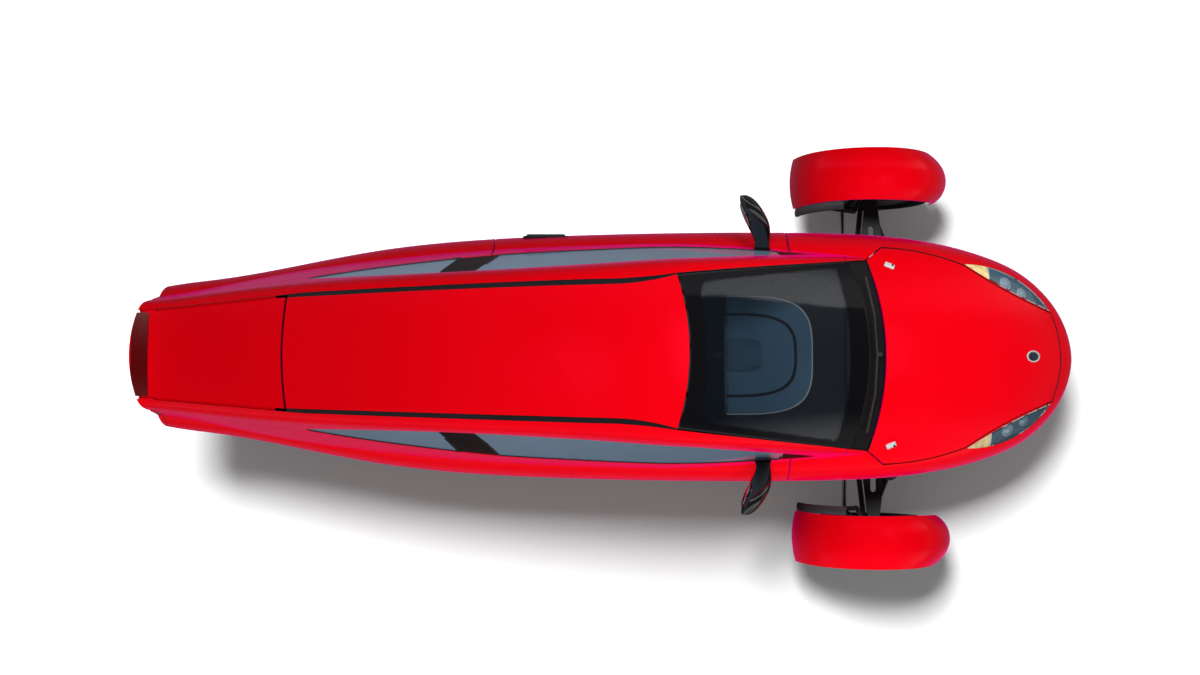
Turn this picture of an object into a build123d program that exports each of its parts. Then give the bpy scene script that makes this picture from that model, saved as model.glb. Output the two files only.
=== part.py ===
"""Tandem two-seat three-wheeled car: two steered wheels on outriggers in front, one wheel in the tail.

Millimetres. +X points forward, +Y to the car's left, +Z up. The origin is on the ground, halfway along the car.
"""

from build123d import *
from math import cos, radians, sin, sqrt, tan
import os

# ---------------------------------------------------------------- driving dimensions
nose_x = 1985
tail_x = -1990
front_axle_x = 1125
wheelbase = 2765
rear_axle_x = front_axle_x - wheelbase
track = 1570
wheel_y = track / 2
tyre_radius = 300
tyre_width = 150
rim_radius = 190
rim_width = 128

wall = 30             # body panels, inner to outer face
hood_skin = 22
ledge_width = 16      # seat under the rims of the hood and the tail lid
panel_gap = 6         # shut line between panels
seat_gap = 0.3        # between pieces of one body that touch
glass = 5             # pane thickness
glass_depth = 2       # pane below the panel's outer face
seam = panel_gap / 2

# Hull, nose to tail. wide and wide_z: half width and its height. shoulder: radius above it. crown: slope of the
# top arc at its edge, degrees. sill and floor: half width and height of the bottom edge.
#        x     wide wide_z shoulder crown sill floor
HULL = [
    (1985, 40, 446, 36, 20, 26, 420),
    (1962, 122, 454, 72, 20, 84, 362),
    (1915, 214, 469, 89, 20, 162, 300),
    (1840, 298, 492, 107, 20, 236, 237),
    (1740, 370, 524, 125, 20, 300, 188),
    (1600, 428, 569, 140, 20, 353, 165),
    (1400, 478, 624, 151, 20, 400, 160),
    (1150, 511, 668, 158, 20, 425, 160),
    (800, 526, 685, 162, 20, 438, 160),
    (350, 528, 679, 161, 20, 444, 160),
    (-150, 519, 669, 160, 20, 437, 160),
    (-600, 499, 665, 157, 20, 419, 161),
    (-1000, 457, 674, 149, 20, 374, 183),
    (-1350, 391, 689, 138, 20, 314, 259),
    (-1700, 327, 708, 122, 20, 252, 370),
    (-2030, 262, 724, 100, 20, 192, 490),
]

# Canopy, windscreen foot to tail. top: height on the centre line. wide: half width of the top arc. crown: its slope
# there, degrees. corner: radius from the top into the side. lean: the side's tilt from upright, degrees. foot: how
# far down the side runs, inside the hull.
#         x    top  wide crown corner lean foot
CANOPY = [
    (1230, 815, 399, 30, 42, 14, 600),
    (1050, 919, 389, 27.5, 46, 14, 650),
    (800, 1064, 366, 22.8, 54, 14, 690),
    (500, 1221, 331, 16.4, 66, 14, 705),
    (200, 1336, 296, 11.6, 78, 14, 705),
    (-100, 1368, 267, 9.7, 83, 14.7, 705),
    (-450, 1347, 249, 9.4, 82, 15.6, 710),
    (-850, 1277, 237, 9.5, 78, 16, 718),
    (-1250, 1166, 223, 9.5, 72, 16, 730),
    (-1600, 1052, 202, 9.5, 64, 15, 738),
    (-1800, 989, 187, 9.5, 58, 14, 742),
    (-1900, 969, 179, 9.5, 55, 14, 742),
    (-1960, 975, 174, 9.5, 53, 14, 742),
    (-2030, 1002, 168, 9.5, 50, 14, 742),
]

# Tail outline from above: a shallow arc between rounded corners, leaning forward towards the ground.
tail_bow = 36         # the arc's rise over the tail's width
tail_half = 232
tail_lean = 9         # degrees from upright

# Outlines seen from above, left half, (x, y). Two points are a line, three an arc.
screen_foot = [(935, 382), (1010, 0), (935, -382)]
screen_head = [(206, 294), (252, 0), (206, -294)]
cowl_foot = [(1013, 394.8), (1081, 0), (1013, -394.8)]
cowl_back = [(927, -384.3), (1002, 0), (927, 384.3)]   # under the pane's foot
rail_inside = [[(1020, 396), (935, 386)], [(935, 386), (206, 300)], [(206, 300), (60, 281), (-120, 273)],
               [(-120, 273), (-1250, 237)], [(-1250, 237), (-2010, 176)]]
roof_edge = [[(206, 294), (100, 268), (-60, 253)], [(-60, 253), (-1320, 218)]]
roof_back = -1320
roof_back_bow = 14
lid_edge = [(-1326, 222), (-2010, 169)]
lid_foot_z = 792
hood_corner = (1018, 396)
hood_side = [(1088, 452), (1280, 430), (1448, 383)]
hood_lamp_side = [(1448, 383), (1655, 270), (1862, 192)]
hood_back = 1085
hood_front = 1902
lamp_outside = [(1452, 388), (1650, 356), (1858, 200)]
lamp_inside = [(1858, 200), (1655, 278), (1452, 388)]
lamp_split = 1560
lamp_foot_z = 515

# Outlines seen from the side, (x, z).
belt = [(919, 862), (750, 868), (-500, 900), (-1250, 986), (-2010, 880)]
window_outline = [
    [(752, 871), (-500, 903)], [(-500, 903), (-1262, 992)], [(-1262, 992), (-1262, 1018)],
    [(-1262, 1018), (-756, 1204), (-250, 1256)], [(-250, 1256), (60, 1244), (300, 1192)],
    [(300, 1192), (550, 1052), (800, 884)], [(800, 884), (752, 871)]]
pillar_back = [(-640, 880), (-720, 1260)]
pillar_front = [(-500, 880), (-580, 1260)]
sail_back = [(655, 850), (655, 1100)]
door_front = 696
door_back = -533
door_foot = 300
front_break = 702     # behind this the side panels begin

# Running gear
kingpin_y = wheel_y
hub_z = tyre_radius
arm_drop = 95         # ball joints above and below the hub
rack_x = front_axle_x - 108
rack_eye_y = wheel_y - 100
slot_half = 165       # opening for the rear wheel and its struts
fender_radius = 352
fender_skin = 9
liner_edge_y = 643
liner_outer_y = 679   # just clear of the fender's inner edge

# Front fender round the tyre, by angle rearward of straight up. inner and outer: edges from the car's centre line.
# drop: how far the edges lie below the crown.
#     angle inner outer drop
FENDER = [
    (-92, 704, 888, 66),
    (-70, 694, 900, 58),
    (-45, 686, 907, 46),
    (-20, 682, 909, 34),
    (10, 682, 909, 26),
    (45, 682, 908, 20),
    (88, 682, 906, 16),
]

def hull_points(wide, wide_z, shoulder, crown, sill, floor, inset):
    """The hull section's corners and arc points: sill, low, widest, bend, edge, top."""
    wide, shoulder, sill, floor = wide - inset, shoulder - inset, sill - inset, floor + inset
    slope = radians(crown)
    edge = (wide - shoulder * (1 - sin(slope)), wide_z + shoulder * cos(slope))
    top = (0, edge[1] + edge[0] * tan(slope / 2))
    half = (radians(90) - slope) / 2
    bend = (wide - shoulder * (1 - cos(half)), wide_z + shoulder * sin(half))
    swell = ((wide - sill) ** 2 + (wide_z - floor) ** 2) / (2 * (wide - sill))
    low_z = (wide_z + floor) / 2
    low = (wide - swell + sqrt(swell**2 - (wide_z - low_z) ** 2), low_z)
    return (sill, floor), low, (wide, wide_z), bend, edge, top


def canopy_points(top, wide, crown, corner, lean, foot, inset):
    """The canopy section's corners and arc points: foot, side, bend, edge, top."""
    slope, tilt = radians(crown), radians(lean)
    centre_y = wide - corner * sin(slope)
    centre_z = top - wide * tan(slope / 2) - corner * cos(slope)
    corner -= inset
    edge = (centre_y + corner * sin(slope), centre_z + corner * cos(slope))
    half = (radians(90) - slope + tilt) / 2
    bend = (centre_y + corner * cos(half), centre_z + corner * sin(half))
    side = (centre_y + corner * cos(tilt), centre_z + corner * sin(tilt))
    foot -= inset / 2
    base = (side[0] + (side[1] - foot) * tan(tilt), foot)
    return base, side, bend, edge, (0, edge[1] + edge[0] * tan(slope / 2))


def mirrored(point):
    return (-point[0], point[1])


def hull_form(inset=0, front=nose_x):
    """The hull as a solid, inset on all sides. front leaves out the stations ahead of it."""
    with BuildPart() as form:
        for x, *sizes in HULL:
            if x > front:
                continue
            sill, low, widest, bend, edge, top = hull_points(*sizes, inset)
            with BuildSketch(Plane.YZ.offset(x)):
                with BuildLine():
                    Line(mirrored(sill), sill)
                    ThreePointArc(sill, low, widest)
                    ThreePointArc(widest, bend, edge)
                    ThreePointArc(edge, top, mirrored(edge))
                    ThreePointArc(mirrored(edge), mirrored(bend), mirrored(widest))
                    ThreePointArc(mirrored(widest), mirrored(low), mirrored(sill))
                make_face()
        loft()
    return form.part


def canopy_form(inset=0):
    """The canopy as a solid, inset on its top and sides."""
    with BuildPart() as form:
        for x, *sizes in CANOPY:
            foot, side, bend, edge, top = canopy_points(*sizes, inset)
            with BuildSketch(Plane.YZ.offset(x)):
                with BuildLine():
                    Line(mirrored(foot), foot)
                    Line(foot, side)
                    ThreePointArc(side, bend, edge)
                    ThreePointArc(edge, top, mirrored(edge))
                    ThreePointArc(mirrored(edge), mirrored(bend), mirrored(side))
                    Line(mirrored(side), mirrored(foot))
                make_face()
        loft()
    return form.part


def prism(plane, runs, depth, grow=0):
    """An outline pushed out of its plane. Runs of two points are lines, of three points arcs."""
    with BuildPart() as form:
        with BuildSketch(plane):
            with BuildLine():
                for run in runs:
                    if len(run) == 2:
                        Line(*run)
                    else:
                        ThreePointArc(*run)
            make_face()
            if grow:
                offset(amount=grow, kind=Kind.ARC)
        extrude(amount=depth)
    return form.part


def from_above(runs, low=100, high=1500, grow=0):
    return prism(Plane.XY.offset(low), runs, high - low, grow)


def from_side(runs, near=-700, far=700, grow=0):
    return prism(Plane.XZ.offset(-far), runs, far - near, grow)


def closed(points):
    """Straight runs round a polygon."""
    return [[a, b] for a, b in zip(points, points[1:] + points[:1])]


def flipped(run):
    """The same run on the car's right, in reverse."""
    return [(x, -y) for x, y in reversed(run)]


def block(x0, x1, y0, y1, z0, z1):
    """A box between six planes."""
    with BuildPart() as form:
        with Locations(((x0 + x1) / 2, (y0 + y1) / 2, (z0 + z1) / 2)):
            Box(x1 - x0, y1 - y0, z1 - z0)
    return form.part


def rod(start, end, radius):
    """A round bar between two points."""
    start, end = Vector(*start), Vector(*end)
    with BuildPart() as form:
        with BuildSketch(Plane(origin=start, z_dir=end - start)):
            Circle(radius)
        extrude(amount=(end - start).length)
    return form.part


def tail_cut(inset=0):
    """Everything ahead of the tail face, which leans forward towards the ground."""
    rise = tan(radians(tail_lean))
    high, low = 1500, 60
    back = tail_x + inset - (high - 985) * rise
    side = back + tail_bow
    with BuildPart() as form:
        with BuildSketch(Plane(origin=(0, 0, high), x_dir=(1, 0, 0), z_dir=(0, 0, -1))):
            with BuildLine():
                ThreePointArc((side, -tail_half), (back, 0), (side, tail_half))
                Polyline((side, tail_half), (side + 40, 900), (2200, 900), (2200, -900), (side + 40, -900),
                         (side, -tail_half))
            make_face()
        extrude(amount=(high - low) * sqrt(1 + rise**2), dir=(rise, 0, -1))
    return form.part


# ---------------------------------------------------------------- body forms shared by the panels
hull_0, hull_wall, hull_skin = hull_form(), hull_form(wall, 1900), hull_form(hood_skin, 1955)
canopy_0, canopy_wall = canopy_form(), canopy_form(wall)
pane_out, pane_in = canopy_form(glass_depth), canopy_form(glass_depth + glass)

with BuildPart() as body_outside:
    add(hull_0)
    add(canopy_0)
    add(tail_cut(), mode=Mode.INTERSECT)

with BuildPart() as body_inside:
    add(hull_wall)
    add(canopy_wall)
    add(tail_cut(wall), mode=Mode.INTERSECT)

with BuildPart() as cabin_inside:
    add(hull_form(wall + 0.3, 1900))
    add(canopy_form(wall + 0.3))
    add(tail_cut(wall + 0.3), mode=Mode.INTERSECT)

with BuildPart() as shell:
    add(body_outside.part)
    add(body_inside.part, mode=Mode.SUBTRACT)


# ---------------------------------------------------------------- regions that divide the body into panels
def across(start, middle_x):
    """An arc from a point on the right to its mirror image on the left."""
    return [(start[0], -start[1]), (middle_x, 0), start]


def hood_region(grow=0, low=300):
    return from_above([
        across(hood_corner, hood_back)[::-1], [(hood_corner[0], -hood_corner[1]), (hood_side[0][0], -hood_side[0][1])],
        flipped(hood_side)[::-1], flipped(hood_lamp_side)[::-1],
        across(hood_lamp_side[-1], hood_front), hood_lamp_side[::-1], hood_side[::-1],
        [hood_side[0], hood_corner]], low=low, grow=grow)


def lamp_region(grow=0):
    return from_above([lamp_outside, lamp_inside], low=lamp_foot_z, grow=grow)


def screen_region(grow=0):
    return from_above([
        screen_foot, [screen_foot[-1], screen_head[-1]], screen_head[::-1], [screen_head[0], screen_foot[0]]],
        low=700, grow=grow)


def cowl_region(grow=0):
    return from_above([
        cowl_foot, [cowl_foot[-1], cowl_back[0]], cowl_back, [cowl_back[-1], cowl_foot[0]]], low=700, grow=grow)


def between_rails(grow=0):
    """The canopy between the roof rails, from the windscreen's foot to the tail."""
    return from_above([
        across((1020, 396), 1090), *rail_inside, [(-2010, 176), (-2010, -176)],
        *[flipped(run) for run in reversed(rail_inside)]], low=740, grow=grow)


def roof_region(grow=0):
    return from_above([
        across(screen_head[0], screen_head[1][0]), *roof_edge, across((roof_back, 218), roof_back - roof_back_bow)[::-1],
        *[flipped(run) for run in reversed(roof_edge)]], low=740, grow=grow)


def lid_region(grow=0):
    return from_above([
        across(lid_edge[0], lid_edge[0][0] - roof_back_bow), lid_edge, [(-2010, 169), (-2010, -169)],
        flipped(lid_edge)], low=lid_foot_z - grow, grow=grow)


def above_belt(grow=0):
    return from_side([
        [(919, 1480), belt[0]], [belt[0], belt[1]], [belt[1], belt[2]], [belt[2], belt[3]], [belt[3], belt[4]],
        [belt[4], (-2010, 1480)], [(-2010, 1480), (919, 1480)]], grow=grow)


def window_region(near, far, grow=0):
    return from_side(window_outline, near, far, grow)


def pillar_region(near, far, grow=0):
    return from_side(closed([pillar_front[0], pillar_back[0], pillar_back[1], pillar_front[1]]), near, far, grow)


def sail_region(near, far, grow=0):
    return from_side(closed([sail_back[0], (900, 850), (900, 1100), sail_back[1]]), near, far, grow)


def door_region(grow=0):
    belt_at = lambda x: belt[1][1] + (belt[2][1] - belt[1][1]) * (belt[1][0] - x) / (belt[1][0] - belt[2][0])
    return from_side(closed([
        (door_front, door_foot), (door_front, belt_at(door_front)), (-500, 900),
        (door_back, 904), (door_back, door_foot + 60), (door_back + 60, door_foot)]), 0, 700, grow)


def floor_region(grow=0):
    return from_side(closed([(1640, 60), (1640, 205), (-1000, 207), (-1294, 292), (-1294, 60)]), grow=grow)


tail_box = block(-2100, -1900, -700, 700, 200, 872)
wheel_slot = block(-1925, -1300, -slot_half, slot_half, 150, 640)
with BuildPart() as arm_openings:
    add(block(985, 1312, 300, 700, 178, 470))
    add(block(985, 1312, -700, -300, 178, 470))

# ---------------------------------------------------------------- outer panels
with BuildPart() as lamp_holes:
    add(lamp_region(0.3))
    mirror(lamp_region(0.3), about=Plane.XZ)

with BuildPart() as intake:
    add(block(1800, 2100, -118, 118, 285, 372))

with BuildPart() as front_region:
    add(block(front_break, 2100, -700, 700, 0, 1500))
    add(hood_region(seam), mode=Mode.SUBTRACT)
    add(between_rails(0.15), mode=Mode.SUBTRACT)
    add(above_belt(seam), mode=Mode.SUBTRACT)
    add(floor_region(0.15), mode=Mode.SUBTRACT)
    add(arm_openings.part, mode=Mode.SUBTRACT)
    add(intake.part, mode=Mode.SUBTRACT)

with BuildPart() as hood_ledge_region:
    add(hood_region(seam + 0.5))
    add(hood_region(-ledge_width), mode=Mode.SUBTRACT)
    add(block(1140, 1840, -700, 700, 540, 1200), mode=Mode.INTERSECT)

with BuildPart() as hood_ledge:
    add(hull_form(hood_skin + seat_gap, 1955))
    add(hood_ledge_region.part, mode=Mode.INTERSECT)
    add(hull_wall, mode=Mode.SUBTRACT)

with BuildPart() as front_panels:
    add(shell.part)
    add(front_region.part, mode=Mode.INTERSECT)
    add(lamp_holes.part, mode=Mode.SUBTRACT)
    add(hood_ledge.part)

with BuildPart() as hood:
    add(hull_0)
    add(hood_region(-seam, low=500), mode=Mode.INTERSECT)
    add(hull_skin, mode=Mode.SUBTRACT)

with BuildPart() as door_left:
    add(shell.part)
    add(door_region(-seam), mode=Mode.INTERSECT)

with BuildPart() as side_region:
    add(block(-1897, door_front, 0, 700, 0, 1500))
    add(above_belt(seam), mode=Mode.SUBTRACT)
    add(between_rails(seam), mode=Mode.SUBTRACT)
    add(floor_region(0.15), mode=Mode.SUBTRACT)
    add(wheel_slot, mode=Mode.SUBTRACT)

with BuildPart() as side_region_left:
    add(side_region.part)
    add(door_region(seam), mode=Mode.SUBTRACT)

with BuildPart() as side_region_right:
    mirror(side_region.part, about=Plane.XZ)

with BuildPart() as side_panel_left:
    add(shell.part)
    add(side_region_left.part, mode=Mode.INTERSECT)

with BuildPart() as side_panel_right:
    add(shell.part)
    add(side_region_right.part, mode=Mode.INTERSECT)

with BuildPart() as rail_region:
    add(above_belt(-0.15))
    add(between_rails(0.15), mode=Mode.SUBTRACT)
    for near, far in ((-700, -100), (100, 700)):
        add(window_region(near, far), mode=Mode.SUBTRACT)

with BuildPart() as lid_ledge_region:
    add(between_rails(0.65))
    add(lid_region(-ledge_width), mode=Mode.SUBTRACT)
    add(block(-1900, -1375, -300, 300, 850, 1300), mode=Mode.INTERSECT)

with BuildPart() as lid_ledge:
    add(canopy_form(hood_skin + seat_gap))
    add(lid_ledge_region.part, mode=Mode.INTERSECT)
    add(canopy_wall, mode=Mode.SUBTRACT)

with BuildPart() as roof_rails:
    add(shell.part)
    add(rail_region.part, mode=Mode.INTERSECT)
    add(lid_ledge.part)

with BuildPart() as pillar_band:
    add(pillar_region(-700, 700, -0.3))
    add(window_region(-700, 700, -0.3), mode=Mode.INTERSECT)

with BuildPart() as pillars:
    add(canopy_form(glass_depth + glass + 0.3))
    add(pillar_band.part, mode=Mode.INTERSECT)
    add(canopy_wall, mode=Mode.SUBTRACT)

with BuildPart() as roof_panel:
    add(shell.part)
    add(roof_region(), mode=Mode.INTERSECT)

with BuildPart() as channel_region:
    add(between_rails(-0.3))
    add(roof_region(0.3), mode=Mode.SUBTRACT)
    add(block(roof_back, 205, -400, 400, 900, 1500), mode=Mode.INTERSECT)

with BuildPart() as roof_channels:
    add(canopy_form(3))
    add(channel_region.part, mode=Mode.INTERSECT)
    add(canopy_form(wall - 3), mode=Mode.SUBTRACT)

with BuildPart() as lid_inside:
    add(canopy_form(hood_skin))
    add(tail_cut(hood_skin), mode=Mode.INTERSECT)

with BuildPart() as tail_lid:
    add(canopy_0)
    add(tail_cut(), mode=Mode.INTERSECT)
    add(lid_region(-seam), mode=Mode.INTERSECT)
    add(lid_inside.part, mode=Mode.SUBTRACT)

with BuildPart() as valance_region:
    add(tail_box)
    add(lid_region(seam), mode=Mode.SUBTRACT)
    add(wheel_slot, mode=Mode.SUBTRACT)
    for side in (-1, 1):
        with Locations((-1950, side * 226, 836)):
            Box(90, 92, 34, mode=Mode.SUBTRACT)

with BuildPart() as rear_valance:
    add(shell.part)
    add(valance_region.part, mode=Mode.INTERSECT)

with BuildPart() as bulkheads:
    add(block(930, 942, -600, 600, 100, 1000))
    add(block(-1092, -1080, -600, 600, 100, 1000))
    add(hull_form(wall + 0.3, 1900), mode=Mode.INTERSECT)

with BuildPart() as pan_region:
    add(floor_region(-0.15))
    add(arm_openings.part, mode=Mode.SUBTRACT)

jack_x, jack_y, jack_z = 620, 300, 153    # flat pads under the floor

with BuildPart() as floor_pan:
    add(shell.part)
    add(pan_region.part, mode=Mode.INTERSECT)
    add(bulkheads.part)
    add(block(930, 942, -380, 380, 175, 200))
    add(block(-1092, -1080, -330, 330, 200, 245))
    for side in (-1, 1):
        add(block(jack_x - 30, jack_x + 30, side * jack_y - 30, side * jack_y + 30, jack_z, jack_z + 18))

# ---------------------------------------------------------------- glass
with BuildPart() as windscreen:
    add(pane_out)
    add(screen_region(-0.3), mode=Mode.INTERSECT)
    add(pane_in, mode=Mode.SUBTRACT)

with BuildPart() as cowl:
    add(canopy_form(glass_depth + glass + seat_gap))
    add(cowl_region(-seat_gap), mode=Mode.INTERSECT)
    add(canopy_form(12), mode=Mode.SUBTRACT)

behind_pillar = from_side(closed([pillar_front[0], (-1300, 880), (-1300, 1260), pillar_front[1]]), grow=0.5)
ahead_of_pillar = from_side(closed([(900, 860), (900, 1300), pillar_back[1], pillar_back[0]]), grow=0.5)

with BuildPart() as door_glass_region:
    add(window_region(100, 700, -5))
    add(sail_region(100, 700, 5), mode=Mode.SUBTRACT)
    add(behind_pillar, mode=Mode.SUBTRACT)

with BuildPart() as door_glass:
    add(pane_out)
    add(door_glass_region.part, mode=Mode.INTERSECT)
    add(pane_in, mode=Mode.SUBTRACT)

with BuildPart() as side_glass_region:
    add(window_region(-700, -100, -0.5))
    add(sail_region(-700, -100, 0.5), mode=Mode.SUBTRACT)
    add(behind_pillar, mode=Mode.SUBTRACT)

with BuildPart() as side_glass_right:
    add(pane_out)
    add(side_glass_region.part, mode=Mode.INTERSECT)
    add(pane_in, mode=Mode.SUBTRACT)

with BuildPart() as quarter_region:
    add(window_region(-700, 700, -0.5))
    add(ahead_of_pillar, mode=Mode.SUBTRACT)

with BuildPart() as quarter_glasses:
    add(pane_out)
    add(quarter_region.part, mode=Mode.INTERSECT)
    add(pane_in, mode=Mode.SUBTRACT)

with BuildPart() as trim_region:
    add(pillar_region(-700, 700, -0.5))
    add(sail_region(-700, 700, -0.5))
    add(window_region(-700, 700, -0.5), mode=Mode.INTERSECT)

with BuildPart() as pillar_trims:
    add(pane_out)
    add(trim_region.part, mode=Mode.INTERSECT)
    add(pane_in, mode=Mode.SUBTRACT)

# ---------------------------------------------------------------- lamps
with BuildPart() as lamp_layer:
    add(hull_form(2, 1955))
    add(hull_form(6, 1955), mode=Mode.SUBTRACT)

with BuildPart() as headlamp_lenses:
    add(lamp_layer.part)
    add(lamp_region(), mode=Mode.INTERSECT)
    add(block(lamp_split + 0.5, 2000, -700, 700, 0, 1000), mode=Mode.INTERSECT)
    mirror(about=Plane.XZ)

with BuildPart() as indicator_lenses:
    add(lamp_layer.part)
    add(lamp_region(), mode=Mode.INTERSECT)
    add(block(1400, lamp_split - 0.5, -700, 700, 0, 1000), mode=Mode.INTERSECT)
    mirror(about=Plane.XZ)

with BuildPart() as bowl_hollow:
    add(hull_0)
    add(hull_form(62, 1900), mode=Mode.SUBTRACT)
    add(lamp_region(-4), mode=Mode.INTERSECT)

with BuildPart() as headlamp_bowls:
    add(hull_form(6.3, 1955))
    add(hull_form(66, 1900), mode=Mode.SUBTRACT)
    add(lamp_region(), mode=Mode.INTERSECT)
    add(bowl_hollow.part, mode=Mode.SUBTRACT)
    mirror(about=Plane.XZ)

with BuildPart() as behind_lamps:
    add(hull_form(26, 1955))
    add(canopy_form(26))
    add(tail_cut(26), mode=Mode.INTERSECT)

with BuildPart() as tail_lamps:
    for side in (-1, 1):
        with Locations((-1950, side * 226, 836)):
            Box(89, 91, 33)
    add(body_outside.part, mode=Mode.INTERSECT)
    add(behind_lamps.part, mode=Mode.SUBTRACT)

# ---------------------------------------------------------------- wheels
def tyre(centre_x, centre_y, width):
    """Hollow-sided tyre: tread arc, rounded shoulders and bulged walls, turned about the axle."""
    half = width / 2
    with BuildPart() as form:
        with BuildSketch(Plane(origin=(centre_x, centre_y, hub_z), x_dir=(0, 1, 0), z_dir=(1, 0, 0))):
            with BuildLine():
                Line((-half + 17.3, rim_radius + 0.3), (half - 17.3, rim_radius + 0.3))
                Line((half - 17.3, rim_radius + 0.3), (half - 17.3, 199))
                ThreePointArc((half - 17.3, 199), (half, 246), (half - 10, 284))
                ThreePointArc((half - 10, 284), (half - 15, 291), (half - 24, 295))
                ThreePointArc((half - 24, 295), (0, tyre_radius), (-half + 24, 295))
                ThreePointArc((-half + 24, 295), (-half + 15, 291), (-half + 10, 284))
                ThreePointArc((-half + 10, 284), (-half, 246), (-half + 17.3, 199))
                Line((-half + 17.3, 199), (-half + 17.3, rim_radius + 0.3))
            make_face()
        revolve(axis=Axis((centre_x, centre_y, hub_z), (0, 1, 0)))
    return form.part


def rim(centre_x, centre_y, outward, face, bore):
    """Barrel with a flange at each edge, and seven tapered spokes on a boss."""
    half = rim_width / 2
    plane = Plane(origin=(centre_x, centre_y, hub_z), x_dir=(0, 1, 0), z_dir=(1, 0, 0))
    with BuildPart() as form:
        with BuildSketch(plane):
            with BuildLine():
                Polyline((-half, 178), (half, 178), (half, 198), (half - 6, 198), (half - 6, rim_radius),
                         (-half + 6, rim_radius), (-half + 6, 198), (-half, 198), close=True)
            make_face()
        revolve(axis=Axis((centre_x, centre_y, hub_z), (0, 1, 0)))
        wheel_face = Plane(origin=(centre_x, centre_y + outward * face, hub_z), x_dir=(1, 0, 0), z_dir=(0, outward, 0))
        with BuildSketch(wheel_face):
            with PolarLocations(0, 7):
                Polygon((34, -17), (182, -10), (182, 10), (34, 17), align=None)
            Circle(48)
        extrude(amount=18)
        with BuildSketch(wheel_face):
            Circle(bore)
        extrude(amount=30, both=True, mode=Mode.SUBTRACT)
    return form.part


with BuildPart() as tyre_front_left:
    add(tyre(front_axle_x, wheel_y, tyre_width))

with BuildPart() as tyre_front_right:
    add(tyre(front_axle_x, -wheel_y, tyre_width))

with BuildPart() as tyre_rear:
    add(tyre(rear_axle_x, 0, tyre_width))

with BuildPart() as rim_front_left:
    add(rim(front_axle_x, wheel_y, 1, 36, 18.08))

with BuildPart() as rim_front_right:
    mirror(rim_front_left.part, about=Plane.XZ)

with BuildPart() as rim_rear:
    add(rim(rear_axle_x, 0, 1, -9, 14.08))

# ---------------------------------------------------------------- front uprights, fenders and suspension
hub = (front_axle_x, kingpin_y, hub_z)


def fender_band(y0, y1, crown, drop, thick, start, sweep):
    """A strip of revolution over the tyre, crowned across its width. start: degrees rearward of straight up."""
    mid = (y0 + y1) / 2
    with BuildPart() as form:
        with BuildSketch(Plane(origin=(front_axle_x, 0, hub_z), x_dir=(0, 1, 0), z_dir=(1, 0, 0))):
            with BuildLine():
                ThreePointArc((y0, crown - drop), (mid, crown), (y1, crown - drop))
                Line((y1, crown - drop), (y1, crown - drop - thick))
                ThreePointArc((y1, crown - drop - thick), (mid, crown - thick), (y0, crown - drop - thick))
                Line((y0, crown - drop - thick), (y0, crown - drop))
            make_face()
        revolve(axis=Axis((front_axle_x, 0, hub_z), (0, -1, 0)), revolution_arc=sweep)
    return form.part.rotate(Axis((front_axle_x, 0, hub_z), (0, -1, 0)), start)


def fender_shell():
    with BuildPart() as form:
        for angle, inner, outer, drop in FENDER:
            turn = radians(angle)
            crown, low = fender_radius, fender_radius - drop
            mid = (inner + outer) / 2
            plane = Plane(origin=(front_axle_x, 0, hub_z), x_dir=(0, 1, 0), z_dir=(cos(turn), 0, sin(turn)))
            with BuildSketch(plane):
                with BuildLine():
                    ThreePointArc((inner, low), (mid, crown), (outer, low))
                    Line((outer, low), (outer, low - fender_skin))
                    ThreePointArc((outer, low - fender_skin), (mid, crown - fender_skin), (inner, low - fender_skin))
                    Line((inner, low - fender_skin), (inner, low))
                make_face()
        loft()
    return form.part


with BuildPart() as knuckle_left:
    with BuildSketch(Plane.XZ.offset(-(kingpin_y - 18))):
        with Locations((front_axle_x, hub_z)):
            SlotCenterToCenter(2 * (arm_drop - 19.3 - 26), 52, rotation=90)
    extrude(amount=-34)
    with BuildSketch(Plane.XZ.offset(-(kingpin_y + 16))):
        with Locations((front_axle_x, hub_z)):
            Circle(18)
    extrude(amount=-38)
    add(rod((front_axle_x - 10, kingpin_y - 10, hub_z), (rack_x, rack_eye_y, hub_z), 11))
    add(rod((front_axle_x - 10, kingpin_y - 10, hub_z + 12), (front_axle_x - 60, 668, hub_z + 24), 10))
    add(rod((front_axle_x - 60, 668, hub_z + 24), (front_axle_x - 252, 668, hub_z + 191), 10))
    add(fender_band(liner_edge_y, liner_outer_y, fender_radius - 18, 4, 12, 28, 56))

with BuildPart() as fender_left:
    add(fender_shell())

with BuildPart() as knuckle_right:
    mirror(knuckle_left.part, about=Plane.XZ)

with BuildPart() as fender_right:
    mirror(fender_left.part, about=Plane.XZ)

# Lower arms: two tubes from the subframe to the ball joint. Upper arms: one forged link each side.
low_ball = (front_axle_x, kingpin_y, hub_z - arm_drop)
with BuildPart() as lower_arms:
    add(rod((1075, 384, 232), low_ball, 12))
    add(rod((1282, 384, 232), low_ball, 12))
    add(rod((1075, 384, 232), (1075, 360, 232), 16))
    add(rod((1282, 384, 232), (1282, 360, 232), 16))
    with Locations(low_ball):
        Sphere(19)
    mirror(about=Plane.XZ)

with BuildPart() as upper_arms:
    with BuildSketch(Plane.XY.offset(hub_z + arm_drop - 8)):
        with BuildLine():
            Polyline((1066, 360), (1188, 360), (1180, 470), (1142, kingpin_y), (1108, kingpin_y), (1074, 470),
                     close=True)
        make_face()
        with Locations((front_axle_x, kingpin_y)):
            Circle(19)
        with Locations((front_axle_x, 520)):
            SlotCenterToCenter(120, 26, rotation=90, mode=Mode.SUBTRACT)
    extrude(amount=16)
    add(rod((front_axle_x, kingpin_y, hub_z + 76), (front_axle_x, kingpin_y, hub_z + 90), 13))
    mirror(about=Plane.XZ)

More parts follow.
